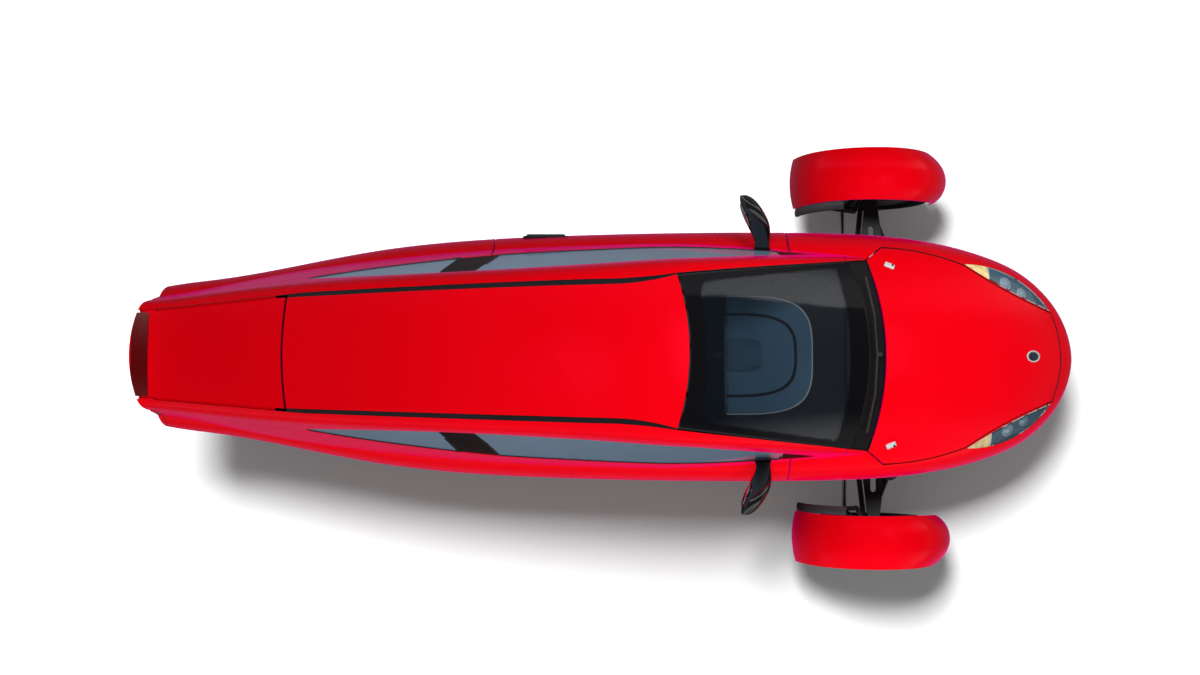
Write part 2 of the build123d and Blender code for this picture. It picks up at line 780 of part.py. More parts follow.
with BuildPart() as coilovers:
    add(rod((1225, 530, 246.6), (1225, 398, 508), 9))
    add(rod((1207, 530, 246.6), (1243, 530, 246.6), 12))
    add(rod((1207, 396, 513), (1243, 396, 513), 14))
    add(rod((1225, 520, 266), (1225, 438, 428), 26))
    add(rod((1225, 438, 428), (1225, 398, 508), 15))
    mirror(about=Plane.XZ)

with BuildPart() as front_subframe:
    add(block(1050, 1310, -359, 359, 205, 250))
    add(block(1060, 1195, -359, 359, 372, 420))
    add(block(1075, 1180, -359, -320, 249, 373))
    add(block(1075, 1180, 320, 359, 249, 373))
    add(block(1100, 1155, -60, 60, 249, 373))
    for side in (-1, 1):
        add(rod((1225, side * 330, 240), (1225, side * 340, 540), 14))
        add(block(1205, 1245, side * 370 - 50, side * 370 + 50, 527.3, 548))
        add(rod((rack_x, side * 130, hub_z), (rack_x, side * 330, hub_z), 27))
        add(block(rack_x, 1100, side * 230 - 20, side * 230 + 20, hub_z - 24, hub_z + 24))
        add(block(1080, 1100, side * 230 - 20, side * 230 + 20, 240, hub_z))
    add(rod((rack_x, -400, hub_z), (rack_x, 400, hub_z), 13.08), mode=Mode.SUBTRACT)
    add(block(1050, 1310, -250, 250, HULL[7][6] + wall + seat_gap, 206))

with BuildPart() as steering_rack:
    for side in (-1, 1):
        add(rod((rack_x, side * rack_eye_y, hub_z - 24), (rack_x, side * 420, hub_z - 6), 9))
        with Locations((rack_x, side * rack_eye_y, hub_z - 24)):
            Sphere(12.5)
    add(rod((rack_x, -430, hub_z), (rack_x, 430, hub_z), 13))

# ---------------------------------------------------------------- rear suspension and power unit
with BuildPart() as swing_arm:
    for side in (-1, 1):
        add(rod((-1268, side * 96, 330), (rear_axle_x - 22, side * 96, hub_z), 17))
        with Locations((rear_axle_x, side * 96, hub_z)):
            Cylinder(30, 30, rotation=(90, 0, 0))
    add(rod((-1268, -140, 330), (-1268, 140, 330), 21))
    add(rod((rear_axle_x, -112, hub_z), (rear_axle_x, 112, hub_z), 14))
    for side in (-1, 1):
        add(rod((-1470, side * 96, 315), (-1470, side * 150, 315), 11))

with BuildPart() as rear_dampers:
    for side in (-1, 1):
        add(rod((-1470, side * 140, 329), (-1382, side * 140, 612), 8))
        add(rod((-1458, side * 140, 366), (-1402, side * 140, 546), 22))

with BuildPart() as wheel_tub:
    add(block(-1936, -1242, -170, 170, 220, 668))
    add(block(-1932, -1246, -166, 166, 210, 664), mode=Mode.SUBTRACT)
    for side in (-1, 1):
        add(rod((-1382, side * 140, 615), (-1382, side * 140, 668), 16))
    add(block(-1290, -1245, -167, -140.3, 300, 360))
    add(block(-1290, -1245, 140.3, 167, 300, 360))
    add(cabin_inside.part, mode=Mode.INTERSECT)

with BuildPart() as engine_block:
    add(block(-1239, -1093, -200, 200, 200, 690))
    add(cabin_inside.part, mode=Mode.INTERSECT)

# ---------------------------------------------------------------- cabin
def profile_between(points, y0, y1, radius=0):
    """A side outline, corners rounded, pulled across the car."""
    with BuildPart() as form:
        with BuildSketch(Plane.XZ.offset(-y1)) as outline:
            with BuildLine():
                Polyline(*points, close=True)
            make_face()
            if radius:
                fillet(outline.vertices(), radius)
        extrude(amount=y1 - y0)
    return form.part


column_tilt = 24
column_plane = Plane(origin=(262, 0, 835), x_dir=(0, 1, 0), z_dir=(-cos(radians(column_tilt)), 0,
                                                                   sin(radians(column_tilt))))
with BuildPart() as column_hole:
    with Locations(column_plane):
        with Locations((0, 0, -140)):
            Cylinder(17.08, 280)

with BuildPart() as dashboard:
    add(profile_between([(929.7, 560), (929.7, 835), (720, 862), (470, 848), (424, 800), (448, 708),
                         (620, 640), (860, 560)], -470, 470, 12))
    add(cabin_inside.part, mode=Mode.INTERSECT)
    add(column_hole.part, mode=Mode.SUBTRACT)

with BuildPart() as steering_wheel:
    with Locations(column_plane):
        Torus(165, 13)
        Cylinder(36, 26)
        with Locations((0, 0, -120)):
            Cylinder(17, 236)
        for turn in (0, 180, 270):
            with Locations(Location((82 * cos(radians(turn)), 82 * sin(radians(turn)), 0), (0, 0, turn))):
                Box(150, 24, 12)

seat_foot_z = 191.7   # clears the floor's highest place under the seat

with BuildPart() as front_seat:
    add(profile_between([(120, seat_foot_z), (140, 330), (90, 372), (-270, 330), (-345, 372), (-470, 880), (-500, 915),
                         (-552, 900), (-560, 860), (-445, 330), (-400, seat_foot_z)], -215, 215, 14))

with BuildPart() as rear_seat:
    add(profile_between([(-640, 150), (-625, 320), (-660, 352), (-900, 322), (-950, 360), (-1018, 790),
                         (-1044, 815), (-1073, 800), (-1079.7, 150)], -205, 205, 10))
    add(cabin_inside.part, mode=Mode.INTERSECT)

# ---------------------------------------------------------------- mirrors, wiper, intake
with BuildPart() as mirror_left:
    for x, y, z, long, tall in ((580, 428, 866, 84, 20), (579, 462, 896, 60, 22), (567, 510, 928, 84, 56),
                                (545, 560, 955, 92, 96), (520, 612, 968, 72, 84), (497, 645, 974, 30, 34)):
        with BuildSketch(Plane.XZ.offset(-y)):
            with Locations((x, z)):
                Ellipse(long / 2, tall / 2)
    loft()
    add(canopy_form(-0.3), mode=Mode.SUBTRACT)

with BuildPart() as mirror_right:
    mirror(mirror_left.part, about=Plane.XZ)

blade_path = [(1004, -320, 896), (1034, -160, 925), (1042, 0, 936), (1034, 160, 925), (1004, 320, 896)]
with BuildPart() as wiper:
    for start, end in zip(blade_path, blade_path[1:]):
        add(rod(start, end, 5))
    for point in blade_path[1:-1]:
        with Locations(point):
            Sphere(5)
    add(rod((1054, 0, 880), (1054, 0, 934), 9))
    add(rod((1054, 0, 930), (1041, 0, 934), 6))
    add(canopy_form(glass_depth + glass), mode=Mode.SUBTRACT)

with BuildPart() as grille:
    add(block(1850, 1862, -117.5, 117.5, 285.5, 371.5))
    add(body_outside.part, mode=Mode.INTERSECT)

# ---------------------------------------------------------------- labels and files
os.makedirs("parts", exist_ok=True)

front_panels.part.label = "front_panels"
export_step(front_panels.part, "parts/front_panels.step")

hood.part.label = "hood"
export_step(hood.part, "parts/hood.step")

door_left.part.label = "door_left"
export_step(door_left.part, "parts/door_left.step")

side_panel_left.part.label = "side_panel_left"
export_step(side_panel_left.part, "parts/side_panel_left.step")

side_panel_right.part.label = "side_panel_right"
export_step(side_panel_right.part, "parts/side_panel_right.step")

pillars.part.label = "pillars"
export_step(pillars.part, "parts/pillars.step")

roof_rails.part.label = "roof_rails"
export_step(roof_rails.part, "parts/roof_rails.step")

roof_panel.part.label = "roof_panel"
export_step(roof_panel.part, "parts/roof_panel.step")

roof_channels.part.label = "roof_channels"
export_step(roof_channels.part, "parts/roof_channels.step")

tail_lid.part.label = "tail_lid"
export_step(tail_lid.part, "parts/tail_lid.step")

rear_valance.part.label = "rear_valance"
export_step(rear_valance.part, "parts/rear_valance.step")

floor_pan.part.label = "floor_pan"
export_step(floor_pan.part, "parts/floor_pan.step")

windscreen.part.label = "windscreen"
export_step(windscreen.part, "parts/windscreen.step")

door_glass.part.label = "door_glass"
export_step(door_glass.part, "parts/door_glass.step")

side_glass_right.part.label = "side_glass_right"
export_step(side_glass_right.part, "parts/side_glass_right.step")

quarter_glasses.part.label = "quarter_glasses"
export_step(quarter_glasses.part, "parts/quarter_glasses.step")

pillar_trims.part.label = "pillar_trims"
export_step(pillar_trims.part, "parts/pillar_trims.step")

headlamp_lenses.part.label = "headlamp_lenses"
export_step(headlamp_lenses.part, "parts/headlamp_lenses.step")

indicator_lenses.part.label = "indicator_lenses"
export_step(indicator_lenses.part, "parts/indicator_lenses.step")

headlamp_bowls.part.label = "headlamp_bowls"
export_step(headlamp_bowls.part, "parts/headlamp_bowls.step")

tail_lamps.part.label = "tail_lamps"
export_step(tail_lamps.part, "parts/tail_lamps.step")

tyre_front_left.part.label = "tyre_front_left"
export_step(tyre_front_left.part, "parts/tyre_front_left.step")

tyre_front_right.part.label = "tyre_front_right"
export_step(tyre_front_right.part, "parts/tyre_front_right.step")

tyre_rear.part.label = "tyre_rear"
export_step(tyre_rear.part, "parts/tyre_rear.step")

rim_front_left.part.label = "rim_front_left"
export_step(rim_front_left.part, "parts/rim_front_left.step")

rim_front_right.part.label = "rim_front_right"
export_step(rim_front_right.part, "parts/rim_front_right.step")

rim_rear.part.label = "rim_rear"
export_step(rim_rear.part, "parts/rim_rear.step")

knuckle_left.part.label = "knuckle_left"
export_step(knuckle_left.part, "parts/knuckle_left.step")

knuckle_right.part.label = "knuckle_right"
export_step(knuckle_right.part, "parts/knuckle_right.step")

fender_left.part.label = "fender_left"
export_step(fender_left.part, "parts/fender_left.step")

fender_right.part.label = "fender_right"
export_step(fender_right.part, "parts/fender_right.step")

lower_arms.part.label = "lower_arms"
export_step(lower_arms.part, "parts/lower_arms.step")

upper_arms.part.label = "upper_arms"
export_step(upper_arms.part, "parts/upper_arms.step")

coilovers.part.label = "coilovers"
export_step(coilovers.part, "parts/coilovers.step")

front_subframe.part.label = "front_subframe"
export_step(front_subframe.part, "parts/front_subframe.step")

steering_rack.part.label = "steering_rack"
export_step(steering_rack.part, "parts/steering_rack.step")

swing_arm.part.label = "swing_arm"
export_step(swing_arm.part, "parts/swing_arm.step")

rear_dampers.part.label = "rear_dampers"
export_step(rear_dampers.part, "parts/rear_dampers.step")

wheel_tub.part.label = "wheel_tub"
export_step(wheel_tub.part, "parts/wheel_tub.step")

engine_block.part.label = "engine_block"
export_step(engine_block.part, "parts/engine_block.step")

dashboard.part.label = "dashboard"
export_step(dashboard.part, "parts/dashboard.step")

steering_wheel.part.label = "steering_wheel"
export_step(steering_wheel.part, "parts/steering_wheel.step")

front_seat.part.label = "front_seat"
export_step(front_seat.part, "parts/front_seat.step")

rear_seat.part.label = "rear_seat"
export_step(rear_seat.part, "parts/rear_seat.step")

mirror_left.part.label = "mirror_left"
export_step(mirror_left.part, "parts/mirror_left.step")

mirror_right.part.label = "mirror_right"
export_step(mirror_right.part, "parts/mirror_right.step")

cowl.part.label = "cowl"
export_step(cowl.part, "parts/cowl.step")

wiper.part.label = "wiper"
export_step(wiper.part, "parts/wiper.step")

grille.part.label = "grille"
export_step(grille.part, "parts/grille.step")
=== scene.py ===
"""Finish and fittings of a tandem two-seat three-wheeled car, built up round its body and running gear.

Metres. +X points forward, +Y to the car's left, +Z up. The origin is on the ground, halfway along the car.
"""

import math

import bmesh
import bpy
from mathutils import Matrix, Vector


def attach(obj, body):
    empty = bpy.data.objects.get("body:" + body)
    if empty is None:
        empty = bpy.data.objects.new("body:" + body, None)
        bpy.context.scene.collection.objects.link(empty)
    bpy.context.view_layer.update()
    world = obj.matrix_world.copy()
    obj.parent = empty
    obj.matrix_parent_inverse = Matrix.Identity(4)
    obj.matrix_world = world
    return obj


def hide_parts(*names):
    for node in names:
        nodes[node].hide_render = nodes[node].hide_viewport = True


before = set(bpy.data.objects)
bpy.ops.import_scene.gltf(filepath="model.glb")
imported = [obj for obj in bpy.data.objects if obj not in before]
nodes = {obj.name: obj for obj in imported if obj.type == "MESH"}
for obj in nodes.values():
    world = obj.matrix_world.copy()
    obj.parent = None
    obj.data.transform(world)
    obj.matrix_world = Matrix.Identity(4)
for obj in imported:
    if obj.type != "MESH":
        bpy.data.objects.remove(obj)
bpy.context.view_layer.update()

# ---------------------------------------------------------------- camera
# A long look straight down on the car from above its right flank, nose to the right, tilted a little towards
# the left side.
camera_x, camera_y, camera_height = -0.0875, -0.19, 6.6
camera_tilt = math.radians(2.62)
lens_mm, sensor_mm = 41.76, 36
camera_data = bpy.data.cameras.new("overhead")
camera_data.lens = lens_mm
camera_data.sensor_width = sensor_mm
camera = bpy.data.objects.new("overhead", camera_data)
camera.location = (camera_x, camera_y, camera_height)
camera.rotation_euler = (camera_tilt, 0, 0)
bpy.context.scene.collection.objects.link(camera)
bpy.context.scene.camera = camera
bpy.context.scene.view_settings.view_transform = "Standard"

# ---------------------------------------------------------------- studio
# A white floor and a soft sky. The key panel hangs high and a little to the car's left, so a short shadow falls
# to the right. The other lamps light the paint, the right-hand panes or the dashboard's pads alone. Pale cards at
# both sides show in the glass.
floor_size = 60
floor_seen = (0.93, 0.93, 0.935, 1)
floor_bounce = (0.11, 0.10, 0.10, 1)     # the tone that lights the car from below
floor_glow = 0.06
sky_fill = 0.16
ceiling_dark = 0.012
horizon_bright = 0.32
horizon_reach = 0.5          # how high up the horizon's light fades out
sky_lean = -0.12             # the bright horizon stands higher on the car's left
card_bright = 1.7            # pale panels at both sides, seen in gloss alone
# how far across a reflection looks, from 0 at the car's right to 1 at its left, and the card's share there
card_stops = ((0.0, 0.25), (0.20, 0.6), (0.265, 0.7), (0.33, 0.0), (0.665, 0.0), (0.674, 1.0), (0.74, 0.8),
              (0.79, 0.0))


def calc(tree, operation, first, second=0.0, third=0.0):
    """A Math node fed by sockets or plain numbers."""
    node = tree.nodes.new("ShaderNodeMath")
    node.operation = operation
    for socket, value in zip(node.inputs, (first, second, third)):
        if isinstance(value, (int, float)):
            socket.default_value = value
        else:
            tree.links.new(value, socket)
    return node.outputs[0]


bpy.ops.object.select_all(action="DESELECT")
bpy.ops.mesh.primitive_plane_add(size=floor_size, location=(0, 0, 0))
floor = bpy.context.object
floor.name = "studio_floor"
floor_paint = bpy.data.materials.new("floor_white")
floor_paint.use_nodes = True
tree = floor_paint.node_tree
shader = tree.nodes["Principled BSDF"]
shader.inputs["Roughness"].default_value = 0.9
shader.inputs["Specular IOR Level"].default_value = 0.1
shader.inputs["Emission Color"].default_value = (1, 1, 1, 1)
seen = tree.nodes.new("ShaderNodeLightPath").outputs["Is Camera Ray"]
tree.links.new(calc(tree, "MULTIPLY", seen, floor_glow), shader.inputs["Emission Strength"])
floor_tone = tree.nodes.new("ShaderNodeMix")
floor_tone.data_type = "RGBA"
floor_tone.inputs["A"].default_value = floor_bounce
floor_tone.inputs["B"].default_value = floor_seen
tree.links.new(seen, floor_tone.inputs["Factor"])
tree.links.new(floor_tone.outputs["Result"], shader.inputs["Base Color"])
floor.data.materials.append(floor_paint)

world = bpy.data.worlds.new("studio_sky")
bpy.context.scene.world = world
world.use_nodes = True
sky = world.node_tree
sky_light = sky.nodes["Background"]
sky_path = sky.nodes.new("ShaderNodeLightPath")
sky_place = sky.nodes.new("ShaderNodeTexCoord")
sky_axis = sky.nodes.new("ShaderNodeSeparateXYZ")
sky.links.new(sky_place.outputs["Generated"], sky_axis.inputs[0])
sky_fade = sky.nodes.new("ShaderNodeMapRange")
sky_fade.interpolation_type = "SMOOTHSTEP"
sky_fade.inputs["From Min"].default_value = 0.0
sky_fade.inputs["From Max"].default_value = horizon_reach
sky_fade.inputs["To Min"].default_value = horizon_bright
sky_fade.inputs["To Max"].default_value = ceiling_dark
sky.links.new(calc(sky, "MULTIPLY_ADD", sky_axis.outputs["Y"], sky_lean, sky_axis.outputs["Z"]),
              sky_fade.inputs["Value"])
cards = sky.nodes.new("ShaderNodeValToRGB")
card_ramp = cards.color_ramp.elements
card_ramp.remove(card_ramp[1])
card_ramp[0].position, card_ramp[0].color = 0, (card_stops[0][1],) * 3 + (1,)
for stop, share in card_stops[1:]:
    card_ramp.new(stop).color = (share, share, share, 1)
sky.links.new(calc(sky, "MULTIPLY_ADD", sky_axis.outputs["Y"], 0.5, 0.5), cards.inputs["Fac"])
glossy_or_fill = sky.nodes.new("ShaderNodeMix")
glossy_or_fill.inputs["A"].default_value = sky_fill
sky.links.new(sky_path.outputs["Is Glossy Ray"], glossy_or_fill.inputs["Factor"])
sky.links.new(calc(sky, "MULTIPLY_ADD", cards.outputs["Color"], card_bright, sky_fade.outputs["Result"]),
              glossy_or_fill.inputs["B"])
camera_or_rest = sky.nodes.new("ShaderNodeMix")
camera_or_rest.inputs["B"].default_value = 1
sky.links.new(sky_path.outputs["Is Camera Ray"], camera_or_rest.inputs["Factor"])
sky.links.new(glossy_or_fill.outputs["Result"], camera_or_rest.inputs["A"])
sky_light.inputs["Color"].default_value = (1, 1, 1, 1)
sky.links.new(camera_or_rest.outputs["Result"], sky_light.inputs["Strength"])

# name, place, aimed at, size, watts
for lamp_name, place, aim, size, watts in (
        ("key_panel", (-2.2, 4.7, 12.0), (0, 0, 0.4), 3.3, 2450),
        ("paint_panel", (-1.2, -1.0, 12.0), (0, 0, 0.4), 3.6, 1480),
        ("front_panel", (2.3, 0.2, 3.8), (1.2, 0, 0.6), 1.4, 125),
        ("right_strip", (0.2, -4.5, 0.7), (0.2, 0, 0.6), 1.8, 250),
        ("glass_strip", (-0.2, -4.5, 2.2), (-0.2, 0, 0.9), 1.8, 150),
        ("dash_panel", (1.15, -0.1, 1.40), (0.7, 0, 0.75), 0.25, 9)):
    lamp_data = bpy.data.lights.new(lamp_name, "AREA")
    lamp_data.shape = "SQUARE"
    lamp_data.size = size
    lamp_data.energy = watts
    lamp = bpy.data.objects.new(lamp_name, lamp_data)
    lamp.location = place
    lamp.rotation_euler = (Vector(aim) - Vector(place)).to_track_quat("-Z", "Y").to_euler()
    lamp.visible_glossy = False
    bpy.context.scene.collection.objects.link(lamp)
# The strip's light doesn't bounce off the paint, so the shadow stays grey.
strip_data = bpy.data.lights["right_strip"]
strip_data.use_nodes = True
tree = strip_data.node_tree
bounces = tree.nodes.new("ShaderNodeLightPath").outputs["Diffuse Depth"]
tree.links.new(calc(tree, "LESS_THAN", bounces, 0.5), tree.nodes["Emission"].inputs["Strength"])

# ---------------------------------------------------------------- painted body panels
# Moulded composite skins in a solid red two-stage gloss, polished after lacquering, so only a trace of orange
# peel stays. Their inner faces are lined or left dark.


def finish(name, colour, roughness, metallic=0.0, coat=0.0, drift=0.06, drift_scale=5.0, grain=0.0,
           grain_scale=300.0, grain_depth=0.001):
    """A surface whose tone and gloss drift a little, with an optional fine grain."""
    material = bpy.data.materials.new(name)
    material.use_nodes = True
    tree = material.node_tree
    shader = tree.nodes["Principled BSDF"]
    place = tree.nodes.new("ShaderNodeTexCoord")
    cloud = tree.nodes.new("ShaderNodeTexNoise")
    cloud.inputs["Scale"].default_value = drift_scale
    cloud.inputs["Detail"].default_value = 4
    tree.links.new(place.outputs["Object"], cloud.inputs["Vector"])
    tones = tree.nodes.new("ShaderNodeValToRGB")
    tones.color_ramp.elements[0].position = 0.3
    tones.color_ramp.elements[1].position = 0.7
    tones.color_ramp.elements[0].color = (*[part * (1 - drift) for part in colour], 1)
    tones.color_ramp.elements[1].color = (*[min(1, part * (1 + drift)) for part in colour], 1)
    tree.links.new(cloud.outputs["Fac"], tones.inputs["Fac"])
    tree.links.new(tones.outputs["Color"], shader.inputs["Base Color"])
    gloss = tree.nodes.new("ShaderNodeMapRange")
    gloss.inputs["From Min"].default_value = 0.3
    gloss.inputs["From Max"].default_value = 0.7
    gloss.inputs["To Min"].default_value = roughness * 0.85
    gloss.inputs["To Max"].default_value = min(1, roughness * 1.15)
    tree.links.new(cloud.outputs["Fac"], gloss.inputs["Value"])
    tree.links.new(gloss.outputs["Result"], shader.inputs["Roughness"])
    shader.inputs["Metallic"].default_value = metallic
    shader.inputs["Coat Weight"].default_value = coat
    shader.inputs["Coat Roughness"].default_value = 0.04
    if grain:
        pores = tree.nodes.new("ShaderNodeTexNoise")
        pores.inputs["Scale"].default_value = grain_scale
        pores.inputs["Detail"].default_value = 3
        tree.links.new(place.outputs["Object"], pores.inputs["Vector"])
        bump = tree.nodes.new("ShaderNodeBump")
        bump.inputs["Strength"].default_value = grain
        bump.inputs["Distance"].default_value = grain_depth
        tree.links.new(pores.outputs["Fac"], bump.inputs["Height"])
        tree.links.new(bump.outputs["Normal"], shader.inputs["Normal"])
    return material


def dress(material, *names):
    """Gives CAD nodes one finish."""
    for name in names:
        nodes[name].data.materials.clear()
        nodes[name].data.materials.append(material)


def grouped(name, pieces):
    """A collection of pieces, for the lamps that light them alone."""
    group = bpy.data.collections.new(name)
    for piece in pieces:
        group.objects.link(piece)
    return group


red = (0.42, 0.0002, 0.0025)
paint = finish("red_lacquer", red, 0.24, drift=0.03, drift_scale=1.4, grain=0.02, grain_scale=160)
shader = paint.node_tree.nodes["Principled BSDF"]
shader.inputs["Specular IOR Level"].default_value = 0.3
shader.inputs["Specular Tint"].default_value = (1, 0.05, 0.2, 1)
shader.inputs["Sheen Weight"].default_value = 0.35
shader.inputs["Sheen Roughness"].default_value = 0.35
shader.inputs["Sheen Tint"].default_value = (1, 0.0, 0.32, 1)
liner = finish("grey_liner", (0.045, 0.047, 0.052), 0.85, drift=0.12, grain=0.5, grain_scale=900)

shells = ["front_panels", "hood", "door_left", "side_panel_left", "side_panel_right", "roof_rails", "roof_panel",
          "tail_lid", "rear_valance"]
fenders = {"fender_left": "front_left", "fender_right": "front_right"}
painted = [*shells, *fenders]
dress(paint, *painted)
lit_paint = grouped("lit_paint", [nodes[name] for name in painted])
all_but_paint = grouped("all_but_paint", [nodes[name] for name in painted])
for entry in all_but_paint.collection_objects:
    entry.light_linking.link_state = "EXCLUDE"
for lamp_name in ("paint_panel", "front_panel", "right_strip"):
    bpy.data.objects[lamp_name].light_linking.receiver_collection = lit_paint
bpy.data.objects["key_panel"].light_linking.receiver_collection = all_but_paint

# Faces that look in towards the middle line of the body, or towards the wheel's hub, get the liner.
axis_back, axis_front, axis_height = -1.45, 1.35, 0.62
inward, hubward = -0.25, -0.02
for name in shells:
    panel = nodes[name].data
    panel.materials.append(liner)
    for face in panel.polygons:
        along = min(max(face.center.x, axis_back), axis_front)
        outward = face.center - Vector((along, 0, axis_height))
        if face.normal.dot(outward.normalized()) < inward:
            face.material_index = 1
axle_height = 0.300
wheels = {"front_left": (1.125, 0.785, axle_height), "front_right": (1.125, -0.785, axle_height),
          "rear": (-1.640, 0.0, axle_height)}
for name, wheel in fenders.items():
    band = nodes[name].data
    band.materials.append(liner)
    for face in band.polygons:
        if face.normal.dot(face.center - Vector(wheels[wheel])) < hubward:
            face.material_index = 1

# ---------------------------------------------------------------- black trim
# Piano-black mirror housings, and satin black on the moulded channels beside the roof, the door posts and the
# cowl.
trim_black = finish("gloss_black_trim", (0.006, 0.006, 0.007), 0.12, coat=0.6, drift=0.2, grain=0.01)
dress(trim_black, "mirror_left", "mirror_right")
post_black = finish("satin_black_posts", (0.007, 0.007, 0.008), 0.5, drift=0.2, grain=0.05, grain_scale=500)
post_black.node_tree.nodes["Principled BSDF"].inputs["Specular IOR Level"].default_value = 0.12
dress(post_black, "pillar_trims", "pillars", "roof_channels", "cowl")

# ---------------------------------------------------------------- glazing
# Laminated windscreen with a fired black border that ends in dots, faintly grey, and tempered side panes whose pale
# blue-grey tone is partly their own tint and partly painted reflection. Each sits in a channel of black rubber.
pane_tint = (0.008, 0.012, 0.018, 1)
pane_veil = 0.28             # how much of the clear area's own tone shows
pane_gloss, border_gloss = 0.88, 0.06
border_black = (0.004, 0.004, 0.005, 1)
clear_half, clear_flare = 0.272, 0.1466      # half width of the clear area at clear_from, and its growth per metre
clear_from, clear_to = 0.285, 0.930
rear_step, rear_bow, front_bow = 0.026, 0.35, 0.416
rear_corner, front_corner = 0.09, 0.03
dot_pitch, dot_reach = 0.0055, 0.006
border_edge = 0.0012
screen = bpy.data.materials.new("windscreen_glass")
screen.use_nodes = True
tree = screen.node_tree
shader = tree.nodes["Principled BSDF"]
place = tree.nodes.new("ShaderNodeTexCoord")
split = tree.nodes.new("ShaderNodeSeparateXYZ")
tree.links.new(place.outputs["Object"], split.inputs[0])
x, y = split.outputs["X"], split.outputs["Y"]
bow = calc(tree, "MULTIPLY", y, y)
side_room = calc(tree, "SUBTRACT",
                 calc(tree, "MULTIPLY_ADD", x, clear_flare, clear_half - clear_flare * clear_from),
                 calc(tree, "ABSOLUTE", y))
rear_room = calc(tree, "SUBTRACT", x, calc(tree, "MULTIPLY_ADD", bow, -rear_bow, clear_from + rear_step))
front_room = calc(tree, "SUBTRACT", calc(tree, "MULTIPLY_ADD", bow, -front_bow, clear_to), x)
room = calc(tree, "SMOOTH_MIN", calc(tree, "SMOOTH_MIN", side_room, rear_room, rear_corner), front_room,
            front_corner)
dots = calc(tree, "MULTIPLY",
            calc(tree, "SINE", calc(tree, "MULTIPLY", x, math.tau / dot_pitch)),
            calc(tree, "SINE", calc(tree, "MULTIPLY", y, math.tau / dot_pitch)))
edge = calc(tree, "MULTIPLY_ADD", dots, dot_reach, calc(tree, "SUBTRACT", room, dot_reach))
clear = tree.nodes.new("ShaderNodeMapRange")
clear.inputs["From Min"].default_value = -border_edge
clear.inputs["From Max"].default_value = border_edge
tree.links.new(edge, clear.inputs["Value"])
clear = clear.outputs["Result"]
tint = tree.nodes.new("ShaderNodeMix")
tint.data_type = "RGBA"
tint.inputs["A"].default_value = border_black
tint.inputs["B"].default_value = pane_tint
tree.links.new(clear, tint.inputs["Factor"])
tree.links.new(tint.outputs["Result"], shader.inputs["Base Color"])
tree.links.new(calc(tree, "MULTIPLY_ADD", clear, pane_veil - 1, 1.0), shader.inputs["Alpha"])
tree.links.new(calc(tree, "MULTIPLY_ADD", clear, pane_gloss - border_gloss, border_gloss),
               shader.inputs["Specular IOR Level"])
shader.inputs["Roughness"].default_value = 0.03
dress(screen, "windscreen")

# painted reflection: the side panes' pale blue-grey base, nearly opaque, stands in for the studio seen in them
side_glass = finish("side_glass", (0.17, 0.26, 0.37), 0.04, drift=0.05)
side_glass.node_tree.nodes["Principled BSDF"].inputs["Alpha"].default_value = 0.78
side_glass.node_tree.nodes["Principled BSDF"].inputs["Specular IOR Level"].default_value = 0.7
dress(side_glass, "door_glass", "side_glass_right", "quarter_glasses")
bpy.data.objects["glass_strip"].light_linking.receiver_collection = grouped(
    "lit_panes", [nodes["side_glass_right"], nodes["quarter_glasses"]])

rubber = finish("seal_rubber", (0.008, 0.008, 0.009), 0.55, drift=0.15, grain=0.15, grain_scale=700)


def settle(piece, name, body, material):
    """Fixes a finished piece's place in its mesh, names it, paints it and hangs it on a body."""
    bpy.ops.object.select_all(action="DESELECT")
    piece.select_set(True)
    bpy.context.view_layer.objects.active = piece
    bpy.ops.object.transform_apply(location=True, rotation=True, scale=True)
    piece.name = name
    piece.data.name = name
    piece.data.materials.clear()
    piece.data.materials.append(material)
    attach(piece, body)
    return piece


def twin(name):
    """A free copy of a CAD node's mesh, welded, all selected in edit mode."""
    bpy.ops.object.select_all(action="DESELECT")
    copy = nodes[name].copy()
    copy.data = nodes[name].data.copy()
    copy.parent = None
    for key in list(copy.keys()):
        del copy[key]
    bpy.context.scene.collection.objects.link(copy)
    copy.select_set(True)
    bpy.context.view_layer.objects.active = copy
    bpy.ops.object.mode_set(mode="EDIT")
    bpy.ops.mesh.select_all(action="SELECT")
    bpy.ops.mesh.remove_doubles(threshold=0.00002)
    return copy


def thickened(piece, thickness, even=False):
    """Gives a sheet a wall on its inner side."""
    wall = piece.modifiers.new("wall", "SOLIDIFY")
    wall.thickness = thickness
    wall.offset = -1
    wall.use_even_offset = even
    bpy.ops.object.modifier_apply(modifier="wall")


def turned_out(angle, swell=0.0):
    """Turns the active mesh's faces outward, swells it, and shades it smooth below an angle in degrees."""
    if bpy.context.object.mode == "OBJECT":
        bpy.ops.object.mode_set(mode="EDIT")
        bpy.ops.mesh.select_all(action="SELECT")
    bpy.ops.mesh.normals_make_consistent(inside=False)
    if swell:
        bpy.ops.transform.shrink_fatten(value=swell)
    bpy.ops.object.mode_set(mode="OBJECT")
    bpy.ops.object.shade_smooth_by_angle(angle=math.radians(angle))


def rim_seal(source, name, body, cut_axis, width, swell, material):
    """A channel of rubber round a pane: its rim faces, thickened inwards and swollen over both sides."""
    seal = twin(source)
    form = bmesh.from_edit_mesh(seal.data)
    for face in form.faces:
        face.select_set(abs(face.normal[cut_axis]) > 0.05)
    bmesh.update_edit_mesh(seal.data)
    bpy.ops.mesh.delete(type="FACE")
    bpy.ops.mesh.select_all(action="SELECT")
    bpy.ops.mesh.delete_loose()
    bpy.ops.object.mode_set(mode="OBJECT")
    thickened(seal, width, even=True)
    turned_out(35, swell)
    return settle(seal, name, body, material)


for source, body, width in (("door_glass", "door_left", 0.011), ("side_glass_right", "chassis", 0.011),
                            ("quarter_glasses", "chassis", 0.011)):
    rim_seal(source, source + "_seal", body, 1, width, 0.0012, rubber)
rim_seal("windscreen", "windscreen_seal", "chassis", 2, 0.006, 0.0014, rubber)

